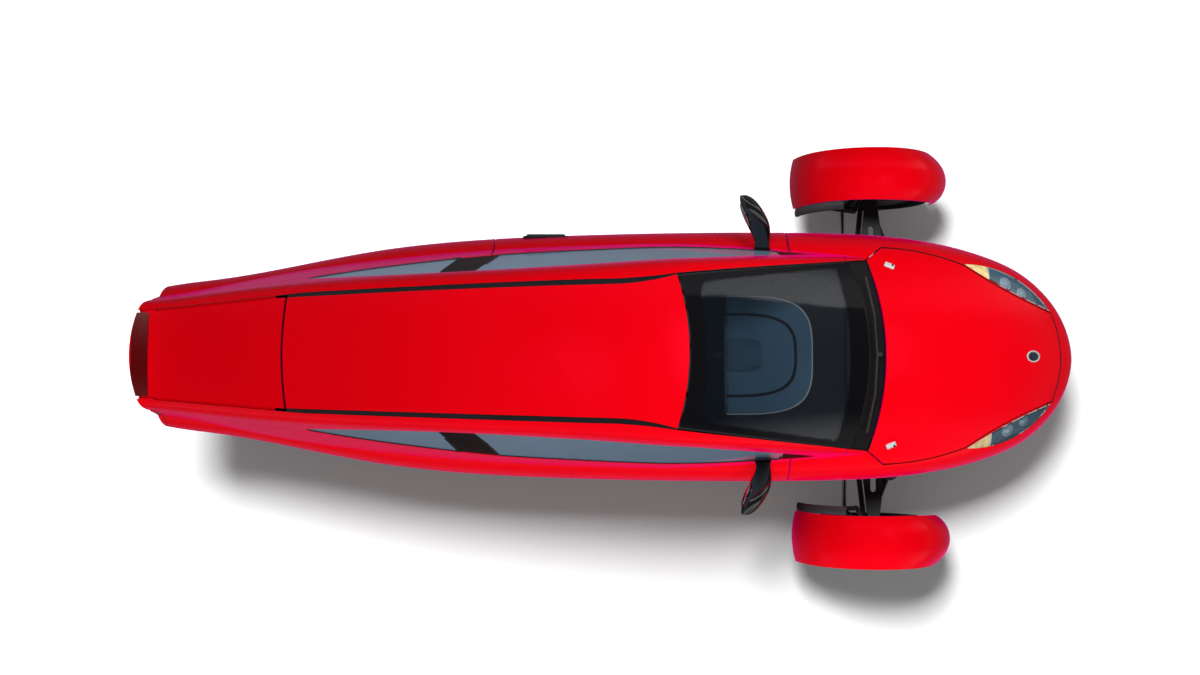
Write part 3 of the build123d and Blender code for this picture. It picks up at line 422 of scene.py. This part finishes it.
# ---------------------------------------------------------------- cowl, wiper and washer nozzles
# A black moulded cowl under the screen's foot, one rubber blade lying along it, and two bright jets in the hood.


def on_skin(name, x, y, lift=0.0):
    """The place and normal of a node's skin straight below (x, y), and the place that far above it."""
    hit, spot, normal, face = nodes[name].ray_cast(Vector((x, y, 3)), Vector((0, 0, -1)))
    return spot + normal * lift, normal


def faced(normal):
    """The turn that stands a piece's own Z along a normal, with its X kept fore and aft."""
    return normal.to_track_quat("Z", "Y").to_euler()


def bevelled_block(place, size, turn=(0, 0, 0), bevel=0.2, steps=3):
    """A block with rounded edges. bevel is a share of its least side."""
    bpy.ops.object.select_all(action="DESELECT")
    bpy.ops.mesh.primitive_cube_add(size=1, location=place, rotation=turn)
    block = bpy.context.object
    block.scale = size
    bpy.ops.object.transform_apply(location=False, rotation=False, scale=True)
    bpy.ops.object.mode_set(mode="EDIT")
    bpy.ops.mesh.select_all(action="SELECT")
    bpy.ops.mesh.bevel(offset=min(size) * bevel, segments=steps, affect="EDGES")
    bpy.ops.object.mode_set(mode="OBJECT")
    bpy.ops.object.shade_smooth_by_angle(angle=math.radians(40))
    return block


def merged(pieces):
    """Several pieces made one mesh."""
    bpy.ops.object.select_all(action="DESELECT")
    for piece in pieces:
        piece.select_set(True)
    bpy.context.view_layer.objects.active = pieces[0]
    if len(pieces) > 1:
        bpy.ops.object.join()
    return pieces[0]


wiper_rubber = finish("wiper_rubber", (0.02, 0.02, 0.021), 0.5, drift=0.2, grain=0.1)
dress(wiper_rubber, "wiper")
chrome = finish("bright_metal", (0.62, 0.63, 0.65), 0.2, metallic=0.4, drift=0.05, grain=0.03)
nozzle_x, nozzle_y = 1.115, 0.372
nozzle_size = (0.044, 0.023, 0.011)
nozzle_lift = 0.002
jet_ahead, jet_lift, jet_radius = 0.012, 0.006, 0.0055
for side_name, side in (("left", 1), ("right", -1)):
    spot, normal = on_skin("hood", nozzle_x, side * nozzle_y, nozzle_lift)
    base = bevelled_block(spot, nozzle_size, faced(normal), bevel=0.45, steps=4)
    settle(base, "washer_nozzle_" + side_name, "hood", chrome)
    spot, normal = on_skin("hood", nozzle_x + jet_ahead, side * nozzle_y, jet_lift)
    bpy.ops.mesh.primitive_uv_sphere_add(segments=20, ring_count=12, radius=jet_radius, location=spot)
    bpy.ops.object.shade_smooth()
    settle(bpy.context.object, "washer_jet_" + side_name, "hood", trim_black)

# ---------------------------------------------------------------- blank badge
# An oval bright ring round a dark domed disc, with nothing on it, stuck to the nose of the hood.
badge_x = 1.755
badge_half = (0.022, 0.033)
badge_lift, badge_rise, badge_dome = 0.001, 0.016, 0.003
disc_share = 0.95            # the disc's size within the ring
spot, normal = on_skin("hood", badge_x, 0, badge_lift)
bpy.ops.object.select_all(action="DESELECT")
bpy.ops.mesh.primitive_torus_add(major_segments=64, minor_segments=12, major_radius=1, minor_radius=0.16,
                                 location=spot, rotation=faced(normal))
ring = bpy.context.object
ring.scale = (*badge_half, badge_rise)
bpy.ops.object.shade_smooth()
settle(ring, "badge_ring", "hood", chrome)
bpy.ops.object.select_all(action="DESELECT")
bpy.ops.mesh.primitive_uv_sphere_add(segments=48, ring_count=24, radius=1, location=spot, rotation=faced(normal))
disc = bpy.context.object
disc.scale = (badge_half[0] * disc_share, badge_half[1] * disc_share, badge_dome)
bpy.ops.object.shade_smooth()
settle(disc, "badge_disc", "hood", finish("badge_enamel", (0.02, 0.025, 0.035), 0.1, coat=0.5))

# ---------------------------------------------------------------- headlamps
# A clear moulded lens over a faceted bright bowl with two round projectors, an amber indicator behind it, and a
# pale rim.
lens_clear = finish("lamp_lens", (0.12, 0.24, 0.33), 0.03, drift=0.1)
lens_clear.node_tree.nodes["Principled BSDF"].inputs["Alpha"].default_value = 0.24
lens_amber = finish("amber_lens", (0.98, 0.64, 0.28), 0.12, coat=0.4, drift=0.35, drift_scale=45)
lens_amber.node_tree.nodes["Principled BSDF"].inputs["Alpha"].default_value = 0.82
dress(lens_clear, "headlamp_lenses")
dress(lens_amber, "indicator_lenses")
facets_per_metre, facet_depth = 55, 0.006
bowl = finish("lamp_bowl", (0.30, 0.38, 0.45), 0.22, metallic=0.85, drift=0.45, drift_scale=28)
tree = bowl.node_tree
facets = tree.nodes.new("ShaderNodeTexVoronoi")
facets.inputs["Scale"].default_value = facets_per_metre
place = tree.nodes.new("ShaderNodeTexCoord")
tree.links.new(place.outputs["Object"], facets.inputs["Vector"])
dent = tree.nodes.new("ShaderNodeBump")
dent.inputs["Strength"].default_value = 0.8
dent.inputs["Distance"].default_value = facet_depth
tree.links.new(facets.outputs["Distance"], dent.inputs["Height"])
tree.links.new(dent.outputs["Normal"], tree.nodes["Principled BSDF"].inputs["Normal"])
dress(bowl, "headlamp_bowls")
rim_grey = finish("lamp_rim", (0.42, 0.44, 0.46), 0.3, metallic=0.3, drift=0.1)
rim_seal("headlamp_lenses", "headlamp_rims", "chassis", 2, 0.0035, 0.0007, rim_grey)
bulb_glass = finish("bulb_glass", (0.45, 0.58, 0.68), 0.05, metallic=0.4, coat=0.6)
collar_wire = 0.0035
bulb_width, bulb_dome = 0.92, 0.42           # shares of the collar's radius
# x, y, radius, depth below the lens
for lamp_part, x, y, radius, depth in (("low", 1.655, 0.318, 0.026, 0.020), ("high", 1.735, 0.278, 0.022, 0.022)):
    for side_name, side in (("left", 1), ("right", -1)):
        spot, normal = on_skin("headlamp_lenses", x, side * y, -depth)
        bpy.ops.object.select_all(action="DESELECT")
        bpy.ops.mesh.primitive_torus_add(major_segments=40, minor_segments=10, major_radius=radius,
                                         minor_radius=collar_wire, location=spot, rotation=faced(normal))
        bpy.ops.object.shade_smooth()
        collar = bpy.context.object
        bpy.ops.mesh.primitive_uv_sphere_add(segments=32, ring_count=16, radius=1, location=spot,
                                             rotation=faced(normal))
        bpy.context.object.scale = (radius * bulb_width, radius * bulb_width, radius * bulb_dome)
        bpy.ops.object.shade_smooth()
        settle(bpy.context.object, "projector_" + lamp_part + "_" + side_name, "chassis", bulb_glass)
        settle(collar, "projector_ring_" + lamp_part + "_" + side_name, "chassis", chrome)

# ---------------------------------------------------------------- intake
# Five black slats across the low opening in the nose, in front of a flat backing.
plastic = finish("moulded_black", (0.018, 0.018, 0.019), 0.6, drift=0.15, grain=0.3, grain_scale=600)
dress(plastic, "grille", "wheel_tub")
slat_x, slat_half, slat_low, slat_high, slat_count = 1.893, 0.117, 0.296, 0.361, 5
slat_depth, slat_thick, slat_lean = 0.026, 0.005, math.radians(18)
slats = []
for number in range(slat_count):
    height = slat_low + (slat_high - slat_low) * number / (slat_count - 1)
    slats.append(bevelled_block((slat_x, 0, height), (slat_depth, 2 * slat_half, slat_thick), (0, slat_lean, 0), 0.4))
settle(merged(slats), "intake_slats", "chassis", plastic)

# ---------------------------------------------------------------- tail lamps
# Red ribbed lenses let into the body's rear corners.
lens_red = finish("red_lens", (0.35, 0.002, 0.006), 0.12, coat=0.6, drift=0.3, drift_scale=60)
dress(lens_red, "tail_lamps")
rim_seal("tail_lamps", "tail_lamp_seals", "chassis", 1, 0.002, 0.0004, rubber)

# ---------------------------------------------------------------- door mirrors and door handle
# Gloss housings swept back on slim stalks, with the glass let into the inboard rear face, and an oval black pull
# on the left door.
mirror_glass = finish("mirror_glass", (0.55, 0.60, 0.66), 0.02, metallic=1.0, drift=0.02)
glass_turn = math.radians(21.9)
glass_x, glass_y, glass_z = 0.5015, 0.565, 0.96
glass_size = (0.006, 0.050, 0.034)
for side_name, side, body in (("left", 1, "door_left"), ("right", -1, "chassis")):
    bpy.ops.object.select_all(action="DESELECT")
    bpy.ops.mesh.primitive_uv_sphere_add(segments=48, ring_count=24, radius=1, rotation=(0, 0, side * glass_turn),
                                         location=(glass_x, side * glass_y, glass_z))
    bpy.context.object.scale = glass_size
    bpy.ops.object.shade_smooth()
    settle(bpy.context.object, "mirror_glass_" + side_name, body, mirror_glass)
pull_x, pull_z = -0.318, 0.70
pull_size, plate_size, plate_set_in = (0.168, 0.020, 0.036), (0.192, 0.013, 0.058), 0.006
hit, spot, normal, face = nodes["door_left"].ray_cast(Vector((pull_x, 1, pull_z)), Vector((0, -1, 0)))
pull = bevelled_block(spot, pull_size, bevel=0.48, steps=5)
settle(pull, "door_pull", "door_left", trim_black)
plate = bevelled_block(spot - Vector((0, plate_set_in, 0)), plate_size, bevel=0.4, steps=4)
settle(plate, "door_pull_plate", "door_left", post_black)

# ---------------------------------------------------------------- tyres
# Low-profile road tyres of black rubber, mounted on the rims: four grooves round the tread, cross cuts in the
# shoulders, and a raised ring on each wall.


def turned(outline, centre, steps, sweep=360):
    """A closed outline of (along the axle, radius) turned about an axle parallel to Y through centre."""
    bpy.ops.object.select_all(action="DESELECT")
    bpy.ops.mesh.primitive_circle_add(vertices=len(outline), radius=1, location=(0, 0, 0))
    piece = bpy.context.object
    for vertex, (along, radius) in zip(piece.data.vertices, outline):
        vertex.co = (centre[0], centre[1] + along, centre[2] + radius)
    bpy.ops.object.mode_set(mode="EDIT")
    bpy.ops.mesh.select_all(action="SELECT")
    bpy.ops.mesh.spin(steps=steps, angle=math.radians(sweep), center=centre, axis=(0, 1, 0))
    bpy.ops.mesh.select_all(action="SELECT")
    bpy.ops.mesh.remove_doubles(threshold=0.00001)
    turned_out(32)
    return piece


tread_rubber = finish("tyre_rubber", (0.016, 0.016, 0.017), 0.72, drift=0.25, drift_scale=30, grain=0.25,
                      grain_scale=700)
groove_depth, groove_half = 0.0065, 0.0038
tread_grooves = (0.014, 0.036)
tread_top, tread_half, tread_drop = 0.2998, 0.051, 0.0045
right_side = [(0.0, tread_top)]
for groove in tread_grooves:
    top = tread_top - (groove / tread_half) ** 2 * tread_drop
    right_side += [(groove - groove_half, top), (groove - groove_half * 0.6, top - groove_depth),
                   (groove + groove_half * 0.6, top - groove_depth), (groove + groove_half, top - 0.0004)]
right_side += [(0.0500, 0.2952), (0.0560, 0.2930), (0.0605, 0.2905), (0.0652, 0.2838), (0.0690, 0.2740),
               (0.0715, 0.2690), (0.0728, 0.2685), (0.0742, 0.2600), (0.0750, 0.2460), (0.0738, 0.2300),
               (0.0705, 0.2170), (0.0712, 0.2150), (0.0690, 0.2080), (0.0577, 0.1990), (0.0577, 0.1905)]
tyre_outline = right_side + [(-along, radius) for along, radius in reversed(right_side)][:-1]
tyre_steps, cut_every = 144, 4
cut_inset, cut_depth = 0.0016, 0.0045
for wheel, centre in wheels.items():
    cover = turned(tyre_outline, centre, tyre_steps)
    bpy.ops.object.mode_set(mode="EDIT")
    bpy.ops.mesh.select_all(action="DESELECT")
    form = bmesh.from_edit_mesh(cover.data)
    for face in form.faces:
        spot = face.calc_center_median() - Vector(centre)
        turn = math.degrees(math.atan2(spot.z, spot.x)) % 360
        shoulder = 0.040 < abs(spot.y) < 0.0595 and spot.xz.length > 0.288
        rib = 0.020 < abs(spot.y) < 0.031 and spot.xz.length > 0.294
        step = int(turn / (360 / tyre_steps))
        face.select_set((shoulder and step % cut_every == 0) or (rib and step % (2 * cut_every) == 2))
    bmesh.update_edit_mesh(cover.data)
    bpy.ops.mesh.inset(thickness=cut_inset, depth=0, use_individual=False)
    bpy.ops.mesh.extrude_region_shrink_fatten(TRANSFORM_OT_shrink_fatten={"value": -cut_depth})
    bpy.ops.object.mode_set(mode="OBJECT")
    settle(cover, "tyre_cover_" + wheel, "wheel_" + wheel, tread_rubber)
    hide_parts("tyre_" + wheel)

# ---------------------------------------------------------------- wheels, brakes and hubs
# Seven-spoke cast rims with a turned lip, a plain cap, five bolts and a valve, on steel discs gripped by one
# caliper each.
alloy = finish("cast_alloy", (0.46, 0.47, 0.49), 0.32, metallic=0.85, drift=0.08, grain=0.08, grain_scale=400)
steel = finish("turned_steel", (0.40, 0.40, 0.41), 0.28, metallic=1.0, drift=0.15, drift_scale=40, grain=0.05)
dark_cast = finish("dark_casting", (0.05, 0.05, 0.055), 0.5, metallic=0.4, drift=0.2, grain=0.25)
dress(alloy, "rim_front_left", "rim_front_right", "rim_rear")
disc_outline = [(-0.0045, 0.046), (-0.0045, 0.062), (-0.0045, 0.1185), (-0.0035, 0.1200), (-0.0012, 0.1200),
                (-0.0012, 0.1120), (0.0012, 0.1120), (0.0012, 0.1200), (0.0035, 0.1200), (0.0045, 0.1185),
                (0.0045, 0.062), (0.0060, 0.052), (0.0060, 0.046)]
cap_outline = [(0.001, 0.0), (0.001, 0.022), (0.0, 0.024), (0.0, 0.040), (0.006, 0.040), (0.010, 0.036),
               (0.012, 0.020), (0.0125, 0.0)]
bolt_count, bolt_circle, bolt_radius, bolt_length, bolt_out = 5, 0.0435, 0.0075, 0.012, 0.004
valve_at, valve_circle, valve_radius, valve_length = 0.050, 0.172, 0.0035, 0.024
# wheel, outward side, face of the boss, disc's place, along the axle from the wheel's centre
for wheel, side, boss, disc_at in (("front_left", 1, 0.054, 0.024), ("front_right", -1, 0.054, -0.024),
                                   ("rear", 1, 0.009, 0.050)):
    x, y, z = wheels[wheel]
    rotor = turned(disc_outline, (x, y + disc_at, z), 96)
    settle(rotor, "brake_disc_" + wheel, "wheel_" + wheel, steel)
    fittings = [turned([(side * along, radius) for along, radius in cap_outline], (x, y + side * boss, z), 48)]
    for number in range(bolt_count):
        turn = math.tau * number / bolt_count + 0.3
        bpy.ops.object.select_all(action="DESELECT")
        bpy.ops.mesh.primitive_cylinder_add(
            vertices=6, radius=bolt_radius, depth=bolt_length, rotation=(math.pi / 2, 0, 0),
            location=(x + bolt_circle * math.cos(turn), y + side * (boss + bolt_out),
                      z + bolt_circle * math.sin(turn)))
        bpy.ops.object.mode_set(mode="EDIT")
        bpy.ops.mesh.select_all(action="SELECT")
        bpy.ops.mesh.bevel(offset=0.001, segments=2, affect="EDGES")
        bpy.ops.object.mode_set(mode="OBJECT")
        fittings.append(bpy.context.object)
    bpy.ops.object.select_all(action="DESELECT")
    bpy.ops.mesh.primitive_cylinder_add(vertices=16, radius=valve_radius, depth=valve_length,
                                        rotation=(math.pi / 2, 0, 0),
                                        location=(x, y + side * valve_at, z + valve_circle))
    fittings.append(bpy.context.object)
    settle(merged(fittings), "hub_cap_" + wheel, "wheel_" + wheel, steel)
for wheel, knuckle, side in (("front_left", "knuckle_left", 1), ("front_right", "knuckle_right", -1)):
    x, y, z = wheels[wheel]
    jaw = bevelled_block((x + 0.108, y + side * 0.024, z), (0.046, 0.050, 0.104), bevel=0.22)
    arm = bevelled_block((x + 0.055, y + side * 0.006, z), (0.075, 0.014, 0.050), bevel=0.25)
    settle(merged([jaw, arm]), "brake_caliper_" + wheel, knuckle, dark_cast)
x, y, z = wheels["rear"]
jaw = bevelled_block((x + 0.098, y + 0.054, z + 0.012), (0.044, 0.036, 0.074), (0, math.radians(-8), 0), 0.22)
arm = bevelled_block((x + 0.150, y + 0.072, z + 0.012), (0.075, 0.014, 0.026), bevel=0.3)
settle(merged([jaw, arm]), "brake_caliper_rear", "chassis", dark_cast)

# ---------------------------------------------------------------- suspension and steering
# Powder-coated arms and subframe, cast uprights, plated rods, and a wound spring round each damper. Bellows
# close the rack's ends.
powder = finish("powder_coat", (0.022, 0.022, 0.024), 0.42, drift=0.12, grain=0.3, grain_scale=900)
plated = finish("plated_steel", (0.50, 0.50, 0.48), 0.25, metallic=1.0, drift=0.1, grain=0.05)
spring_paint = finish("spring_coating", (0.30, 0.31, 0.33), 0.35, metallic=0.3, drift=0.1)
dress(powder, "front_subframe", "upper_arms", "lower_arms", "swing_arm", "knuckle_left", "knuckle_right")
dress(plated, "steering_rack", "coilovers", "rear_dampers")


def spring(low, high, radius, wire, turns):
    """A helix of round wire wound about the line from low to high."""
    low, high = Vector(low), Vector(high)
    bpy.ops.object.select_all(action="DESELECT")
    bpy.ops.mesh.primitive_circle_add(vertices=10, radius=wire, location=(0, 0, 0), rotation=(math.pi / 2, 0, 0))
    coil = bpy.context.object
    bpy.ops.object.transform_apply(location=True, rotation=True, scale=True)
    bpy.ops.object.mode_set(mode="EDIT")
    bpy.ops.mesh.select_all(action="SELECT")
    bpy.ops.transform.translate(value=(radius, 0, 0))
    bpy.ops.object.mode_set(mode="OBJECT")
    winding = coil.modifiers.new("winding", "SCREW")
    winding.axis = "Z"
    winding.angle = math.tau * turns
    winding.screw_offset = (high - low).length - 2 * wire
    winding.steps = 20 * turns
    winding.render_steps = 20 * turns
    bpy.ops.object.modifier_apply(modifier="winding")
    bpy.ops.object.mode_set(mode="EDIT")
    bpy.ops.mesh.select_all(action="SELECT")
    bpy.ops.mesh.fill_holes(sides=12)
    turned_out(50)
    coil.location = low + (high - low).normalized() * wire
    coil.rotation_euler = (high - low).to_track_quat("Z", "Y").to_euler()
    return coil


rack_x = 1.017
fold_count, fold_pitch, fold_start, fold_end = 6, 0.0098, 0.334, 0.396
fold_bore, fold_cuff, fold_low, fold_top, fold_taper = 0.0145, 0.0180, 0.0225, 0.0285, 0.001
for side_name, side in (("left", 1), ("right", -1)):
    settle(spring((1.225, side * 0.520, 0.266), (1.225, side * 0.438, 0.428), 0.0315, 0.0045, 6),
           "front_spring_" + side_name, "chassis", spring_paint)
    settle(spring((-1.458, side * 0.140, 0.366), (-1.402, side * 0.140, 0.546), 0.0272, 0.0042, 7),
           "rear_spring_" + side_name, "chassis", spring_paint)
    folds = [(side * fold_start, fold_bore), (side * fold_start, fold_top)]
    for number in range(fold_count):
        start = fold_start + number * fold_pitch
        folds += [(side * (start + fold_pitch * 0.45), fold_top - fold_taper * number),
                  (side * (start + fold_pitch * 0.95), fold_low - fold_taper * number)]
    folds += [(side * fold_end, fold_cuff), (side * fold_end, fold_bore)]
    settle(turned(folds, (rack_x, 0, axle_height), 40), "rack_bellows_" + side_name, "chassis", rubber)

# ---------------------------------------------------------------- engine
# The plain cast lump of the engine and gearbox, bolted in ahead of the rear wheel.
dress(dark_cast, "engine_block")

# ---------------------------------------------------------------- floor and cabin trim
# The underbody is a moulded tray, black and finely grained, that carries everything. Inside it is carpeted.
dress(plastic, "floor_pan")
carpet = finish("cabin_carpet", (0.03, 0.031, 0.034), 0.95, drift=0.2, drift_scale=60, grain=0.9, grain_scale=1400)
tray = nodes["floor_pan"].data
tray.materials.append(carpet)
for face in tray.polygons:
    if face.normal.z > 0.3 and face.center.z < 0.6:
        face.material_index = 1

# ---------------------------------------------------------------- dashboard
# A soft grained dashboard with a slate pad on top: a groove runs round three sides of it, with a raised panel
# inside. It has a plain hood for the dials over the steering column.
dash_skin = finish("dashboard_skin", (0.012, 0.014, 0.018), 0.7, drift=0.12, grain=0.35, grain_scale=500)
dash_pad = finish("dashboard_pad", (0.028, 0.058, 0.093), 0.75, drift=0.12, grain=0.4, grain_scale=450)
dash_inner = finish("dashboard_inner_panel", (0.021, 0.043, 0.068), 0.7, drift=0.12, grain=0.4, grain_scale=450)
pad_edge = finish("pad_edging", (0.13, 0.16, 0.18), 0.6, drift=0.1)
dress(dash_skin, "dashboard")
pad_rest_x = 0.478
end_round = 0.012


def laid_on(node, back, front, half, rise, squareness, steps=72):
    """A rounded slab on a node's upper skin. Its straight back end runs on level past pad_rest_x."""
    bpy.ops.object.select_all(action="DESELECT")
    bpy.ops.mesh.primitive_circle_add(vertices=steps, radius=1, fill_type="TRIFAN", location=(0, 0, 0))
    slab = bpy.context.object
    bpy.ops.object.mode_set(mode="EDIT")
    bpy.ops.mesh.select_all(action="SELECT")
    bpy.ops.mesh.subdivide(number_cuts=2)
    bpy.ops.object.mode_set(mode="OBJECT")
    for vertex in slab.data.vertices:
        reach = vertex.co.xy.length
        turn = math.atan2(vertex.co.y, vertex.co.x)
        along = reach * math.copysign(abs(math.cos(turn)) ** squareness, math.cos(turn))
        across = reach * math.copysign(abs(math.sin(turn)) ** squareness, math.sin(turn))
        x = back + (front - back) * max(along, 0) + min(along, 0) * end_round
        y = across * half
        hit, spot, normal, face = nodes[node].ray_cast(Vector((max(x, pad_rest_x), y, 3)), Vector((0, 0, -1)))
        vertex.co = (x, y, spot.z + rise)
    thickened(slab, rise + 0.002)
    edge = slab.modifiers.new("edge", "BEVEL")
    edge.width = rise * 0.4
    edge.segments = 3
    edge.limit_method = "ANGLE"
    edge.angle_limit = math.radians(50)
    bpy.ops.object.modifier_apply(modifier="edge")
    turned_out(40)
    return slab


dash_pads = bpy.data.collections.new("dash_pads")
# name, back, front, half width, rise, squareness, finish
for name, back, front, half, rise, squareness, material in (
        ("dash_pad_edging", 0.440, 0.792, 0.247, 0.0055, 0.55, pad_edge),
        ("dash_top_pad", 0.442, 0.786, 0.241, 0.0085, 0.55, dash_pad),
        ("dash_pad_groove", 0.442, 0.724, 0.176, 0.0095, 0.62, post_black),
        ("dash_inner_pad", 0.442, 0.712, 0.164, 0.0130, 0.62, dash_pad),
        ("dash_raised_panel", 0.446, 0.580, 0.067, 0.0190, 0.35, dash_inner)):
    dash_pads.objects.link(settle(laid_on("dashboard", back, front, half, rise, squareness), name, "chassis",
                                  material))
bpy.data.objects["dash_panel"].light_linking.receiver_collection = dash_pads

# ---------------------------------------------------------------- tail end shade and corner fillers
# A thin dark-red sheet over the lid's last few centimetres is painted shade. It stands in for the lid's end turning
# down away from the light. A small moulded filler on each rail closes the corner beside it.
# painted shade: this dark red stands in for the shade on the lid's downturned end, not for a part of its own
tail_shade_red = finish("painted_tail_shade", (0.055, 0.0001, 0.0006), 0.3, coat=0.1, drift=0.05)
shade_front, shade_back, shade_half = -1.918, -1.984, 0.169
shade_set_in, shade_lift, shade_thick = 0.0015, 0.0012, 0.003
rail_x, rail_y, filler_drop = -1.935, 0.192, 0.011
filler_x, filler_y, filler_size = -1.927, 0.181, (0.068, 0.022, 0.014)


def lid_end(y):
    """How far back the lid's skin reaches at y."""
    x = shade_back
    while not nodes["tail_lid"].ray_cast(Vector((x, y, 3)), Vector((0, 0, -1)))[0]:
        x += 0.001
    return x + shade_set_in


# the sheet of painted shade, laid just above the lid's skin
bpy.ops.object.select_all(action="DESELECT")
bpy.ops.mesh.primitive_grid_add(x_subdivisions=10, y_subdivisions=40, size=2, location=(0, 0, 0))
shade_sheet = bpy.context.object
for vertex in shade_sheet.data.vertices:
    y = vertex.co.y * shade_half
    x = shade_front + (lid_end(y) - shade_front) * (vertex.co.x + 1) / 2
    hit, spot, normal, face = nodes["tail_lid"].ray_cast(Vector((x, y, 3)), Vector((0, 0, -1)))
    vertex.co = (x, y, spot.z + shade_lift)
thickened(shade_sheet, shade_thick)
turned_out(40)
settle(shade_sheet, "tail_lip", "tail_lid", tail_shade_red)
for side_name, side in (("left", 1), ("right", -1)):
    spot, normal = on_skin("roof_rails", rail_x, side * rail_y, -filler_drop)
    filler = bevelled_block((filler_x, side * filler_y, spot.z), filler_size, bevel=0.3)
    settle(filler, "tail_corner_filler_" + side_name, "chassis", paint)

# ---------------------------------------------------------------- steering wheel and pedals
# A leather rim on three spokes with a plain padded boss, and two powder-coated pedals on hanging arms.
leather = finish("black_leather", (0.022, 0.021, 0.020), 0.5, drift=0.2, drift_scale=60, grain=0.5, grain_scale=900)
dress(leather, "steering_wheel")
column_dir = Vector((-0.9135, 0, 0.4067))
hub_spot, boss_out, boss_size = Vector((0.262, 0, 0.835)), 0.012, (0.100, 0.120, 0.030)
boss = bevelled_block(hub_spot + column_dir * boss_out, boss_size,
                      column_dir.to_track_quat("Z", "Y").to_euler(), 0.45, 5)
settle(boss, "steering_boss_pad", "steering_wheel", leather)
# name, y, width
for name, y, width in (("brake", 0.045, 0.060), ("throttle", -0.075, 0.048)):
    arm = bevelled_block((0.868, y, 0.430), (0.014, 0.012, 0.250), (0, math.radians(-8), 0), 0.3)
    foot = bevelled_block((0.838, y, 0.312), (0.014, width, 0.080), (0, math.radians(-24), 0), 0.3)
    settle(merged([arm, foot]), "pedal_" + name, "chassis", powder)

# ---------------------------------------------------------------- seats
# Two seats one behind the other, each a moulded shell with a sewn cushion, back and headrest in dark cloth.
seat_cloth = finish("seat_cloth", (0.030, 0.033, 0.038), 0.9, drift=0.15, drift_scale=20, grain=0.6, grain_scale=1100)
seat_shell = finish("seat_shell", (0.02, 0.02, 0.022), 0.6, drift=0.1, grain=0.4, grain_scale=500)
pad_frames = 20
pad_travel, pad_fill = 0.010, 0.7
cushion_lean = -0.11


def cushion(name, place, size, turn, travel):
    """A sewn pad: a rounded block remeshed, blown up as cloth, held to a small travel, then smoothed."""
    pad = bevelled_block(place, size, turn, 0.38, 5)
    bpy.ops.object.transform_apply(location=True, rotation=True, scale=True)
    pad.data.remesh_voxel_size = 0.009
    bpy.ops.object.voxel_remesh()
    before = [vertex.co.copy() for vertex in pad.data.vertices]
    cloth = pad.modifiers.new("stuffing", "CLOTH")
    cloth.settings.use_pressure = True
    cloth.settings.uniform_pressure_force = 4
    cloth.settings.effector_weights.gravity = 0
    cloth.settings.quality = 5
    cloth.point_cache.frame_start = 1
    cloth.point_cache.frame_end = pad_frames
    for number in range(1, pad_frames + 1):
        bpy.context.scene.frame_set(number)
    bpy.ops.object.modifier_apply(modifier="stuffing")
    for vertex, start in zip(pad.data.vertices, before):
        move = vertex.co - start
        if move.length > travel:
            vertex.co = start + move.normalized() * travel
    bpy.context.scene.frame_set(1)
    round_off = pad.modifiers.new("smooth", "SUBSURF")
    round_off.levels = 1
    bpy.ops.object.modifier_apply(modifier="smooth")
    bpy.ops.object.shade_smooth()
    settle(pad, name, "chassis", seat_cloth)
    return pad


def shell_of(node, name, shrink):
    """A moulded shell: a node's own form, drawn in a little so that the pads stand proud of it."""
    shell = twin(node)
    turned_out(35, -shrink)
    settle(shell, name, "chassis", seat_shell)
    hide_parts(node)


shell_of("front_seat", "front_seat_shell", 0.010)
shell_of("rear_seat", "rear_seat_shell", 0.010)
back_lean = math.atan2(0.125, 0.508)
rear_lean = math.atan2(0.068, 0.430)
# name, place, size, lean about Y
for name, place, size, lean in (
        ("front_cushion", (-0.090, 0, 0.352), (0.400, 0.290, 0.060), cushion_lean),
        ("front_cushion_left", (-0.090, 0.176, 0.366), (0.400, 0.060, 0.070), cushion_lean),
        ("front_cushion_right", (-0.090, -0.176, 0.366), (0.400, 0.060, 0.070), cushion_lean),
        ("front_back", (-0.402, 0, 0.585), (0.050, 0.290, 0.370), -back_lean),
        ("front_back_left", (-0.392, 0.174, 0.585), (0.066, 0.062, 0.360), -back_lean),
        ("front_back_right", (-0.392, -0.174, 0.585), (0.066, 0.062, 0.360), -back_lean),
        ("front_headrest", (-0.478, 0, 0.838), (0.062, 0.230, 0.110), -back_lean),
        ("rear_cushion", (-0.770, 0, 0.334), (0.250, 0.340, 0.050), cushion_lean),
        ("rear_back", (-0.975, 0, 0.555), (0.044, 0.340, 0.330), -rear_lean),
        ("rear_headrest", (-1.016, 0, 0.765), (0.046, 0.230, 0.080), -rear_lean)):
    cushion(name, place, size, (0, lean, 0), pad_travel)
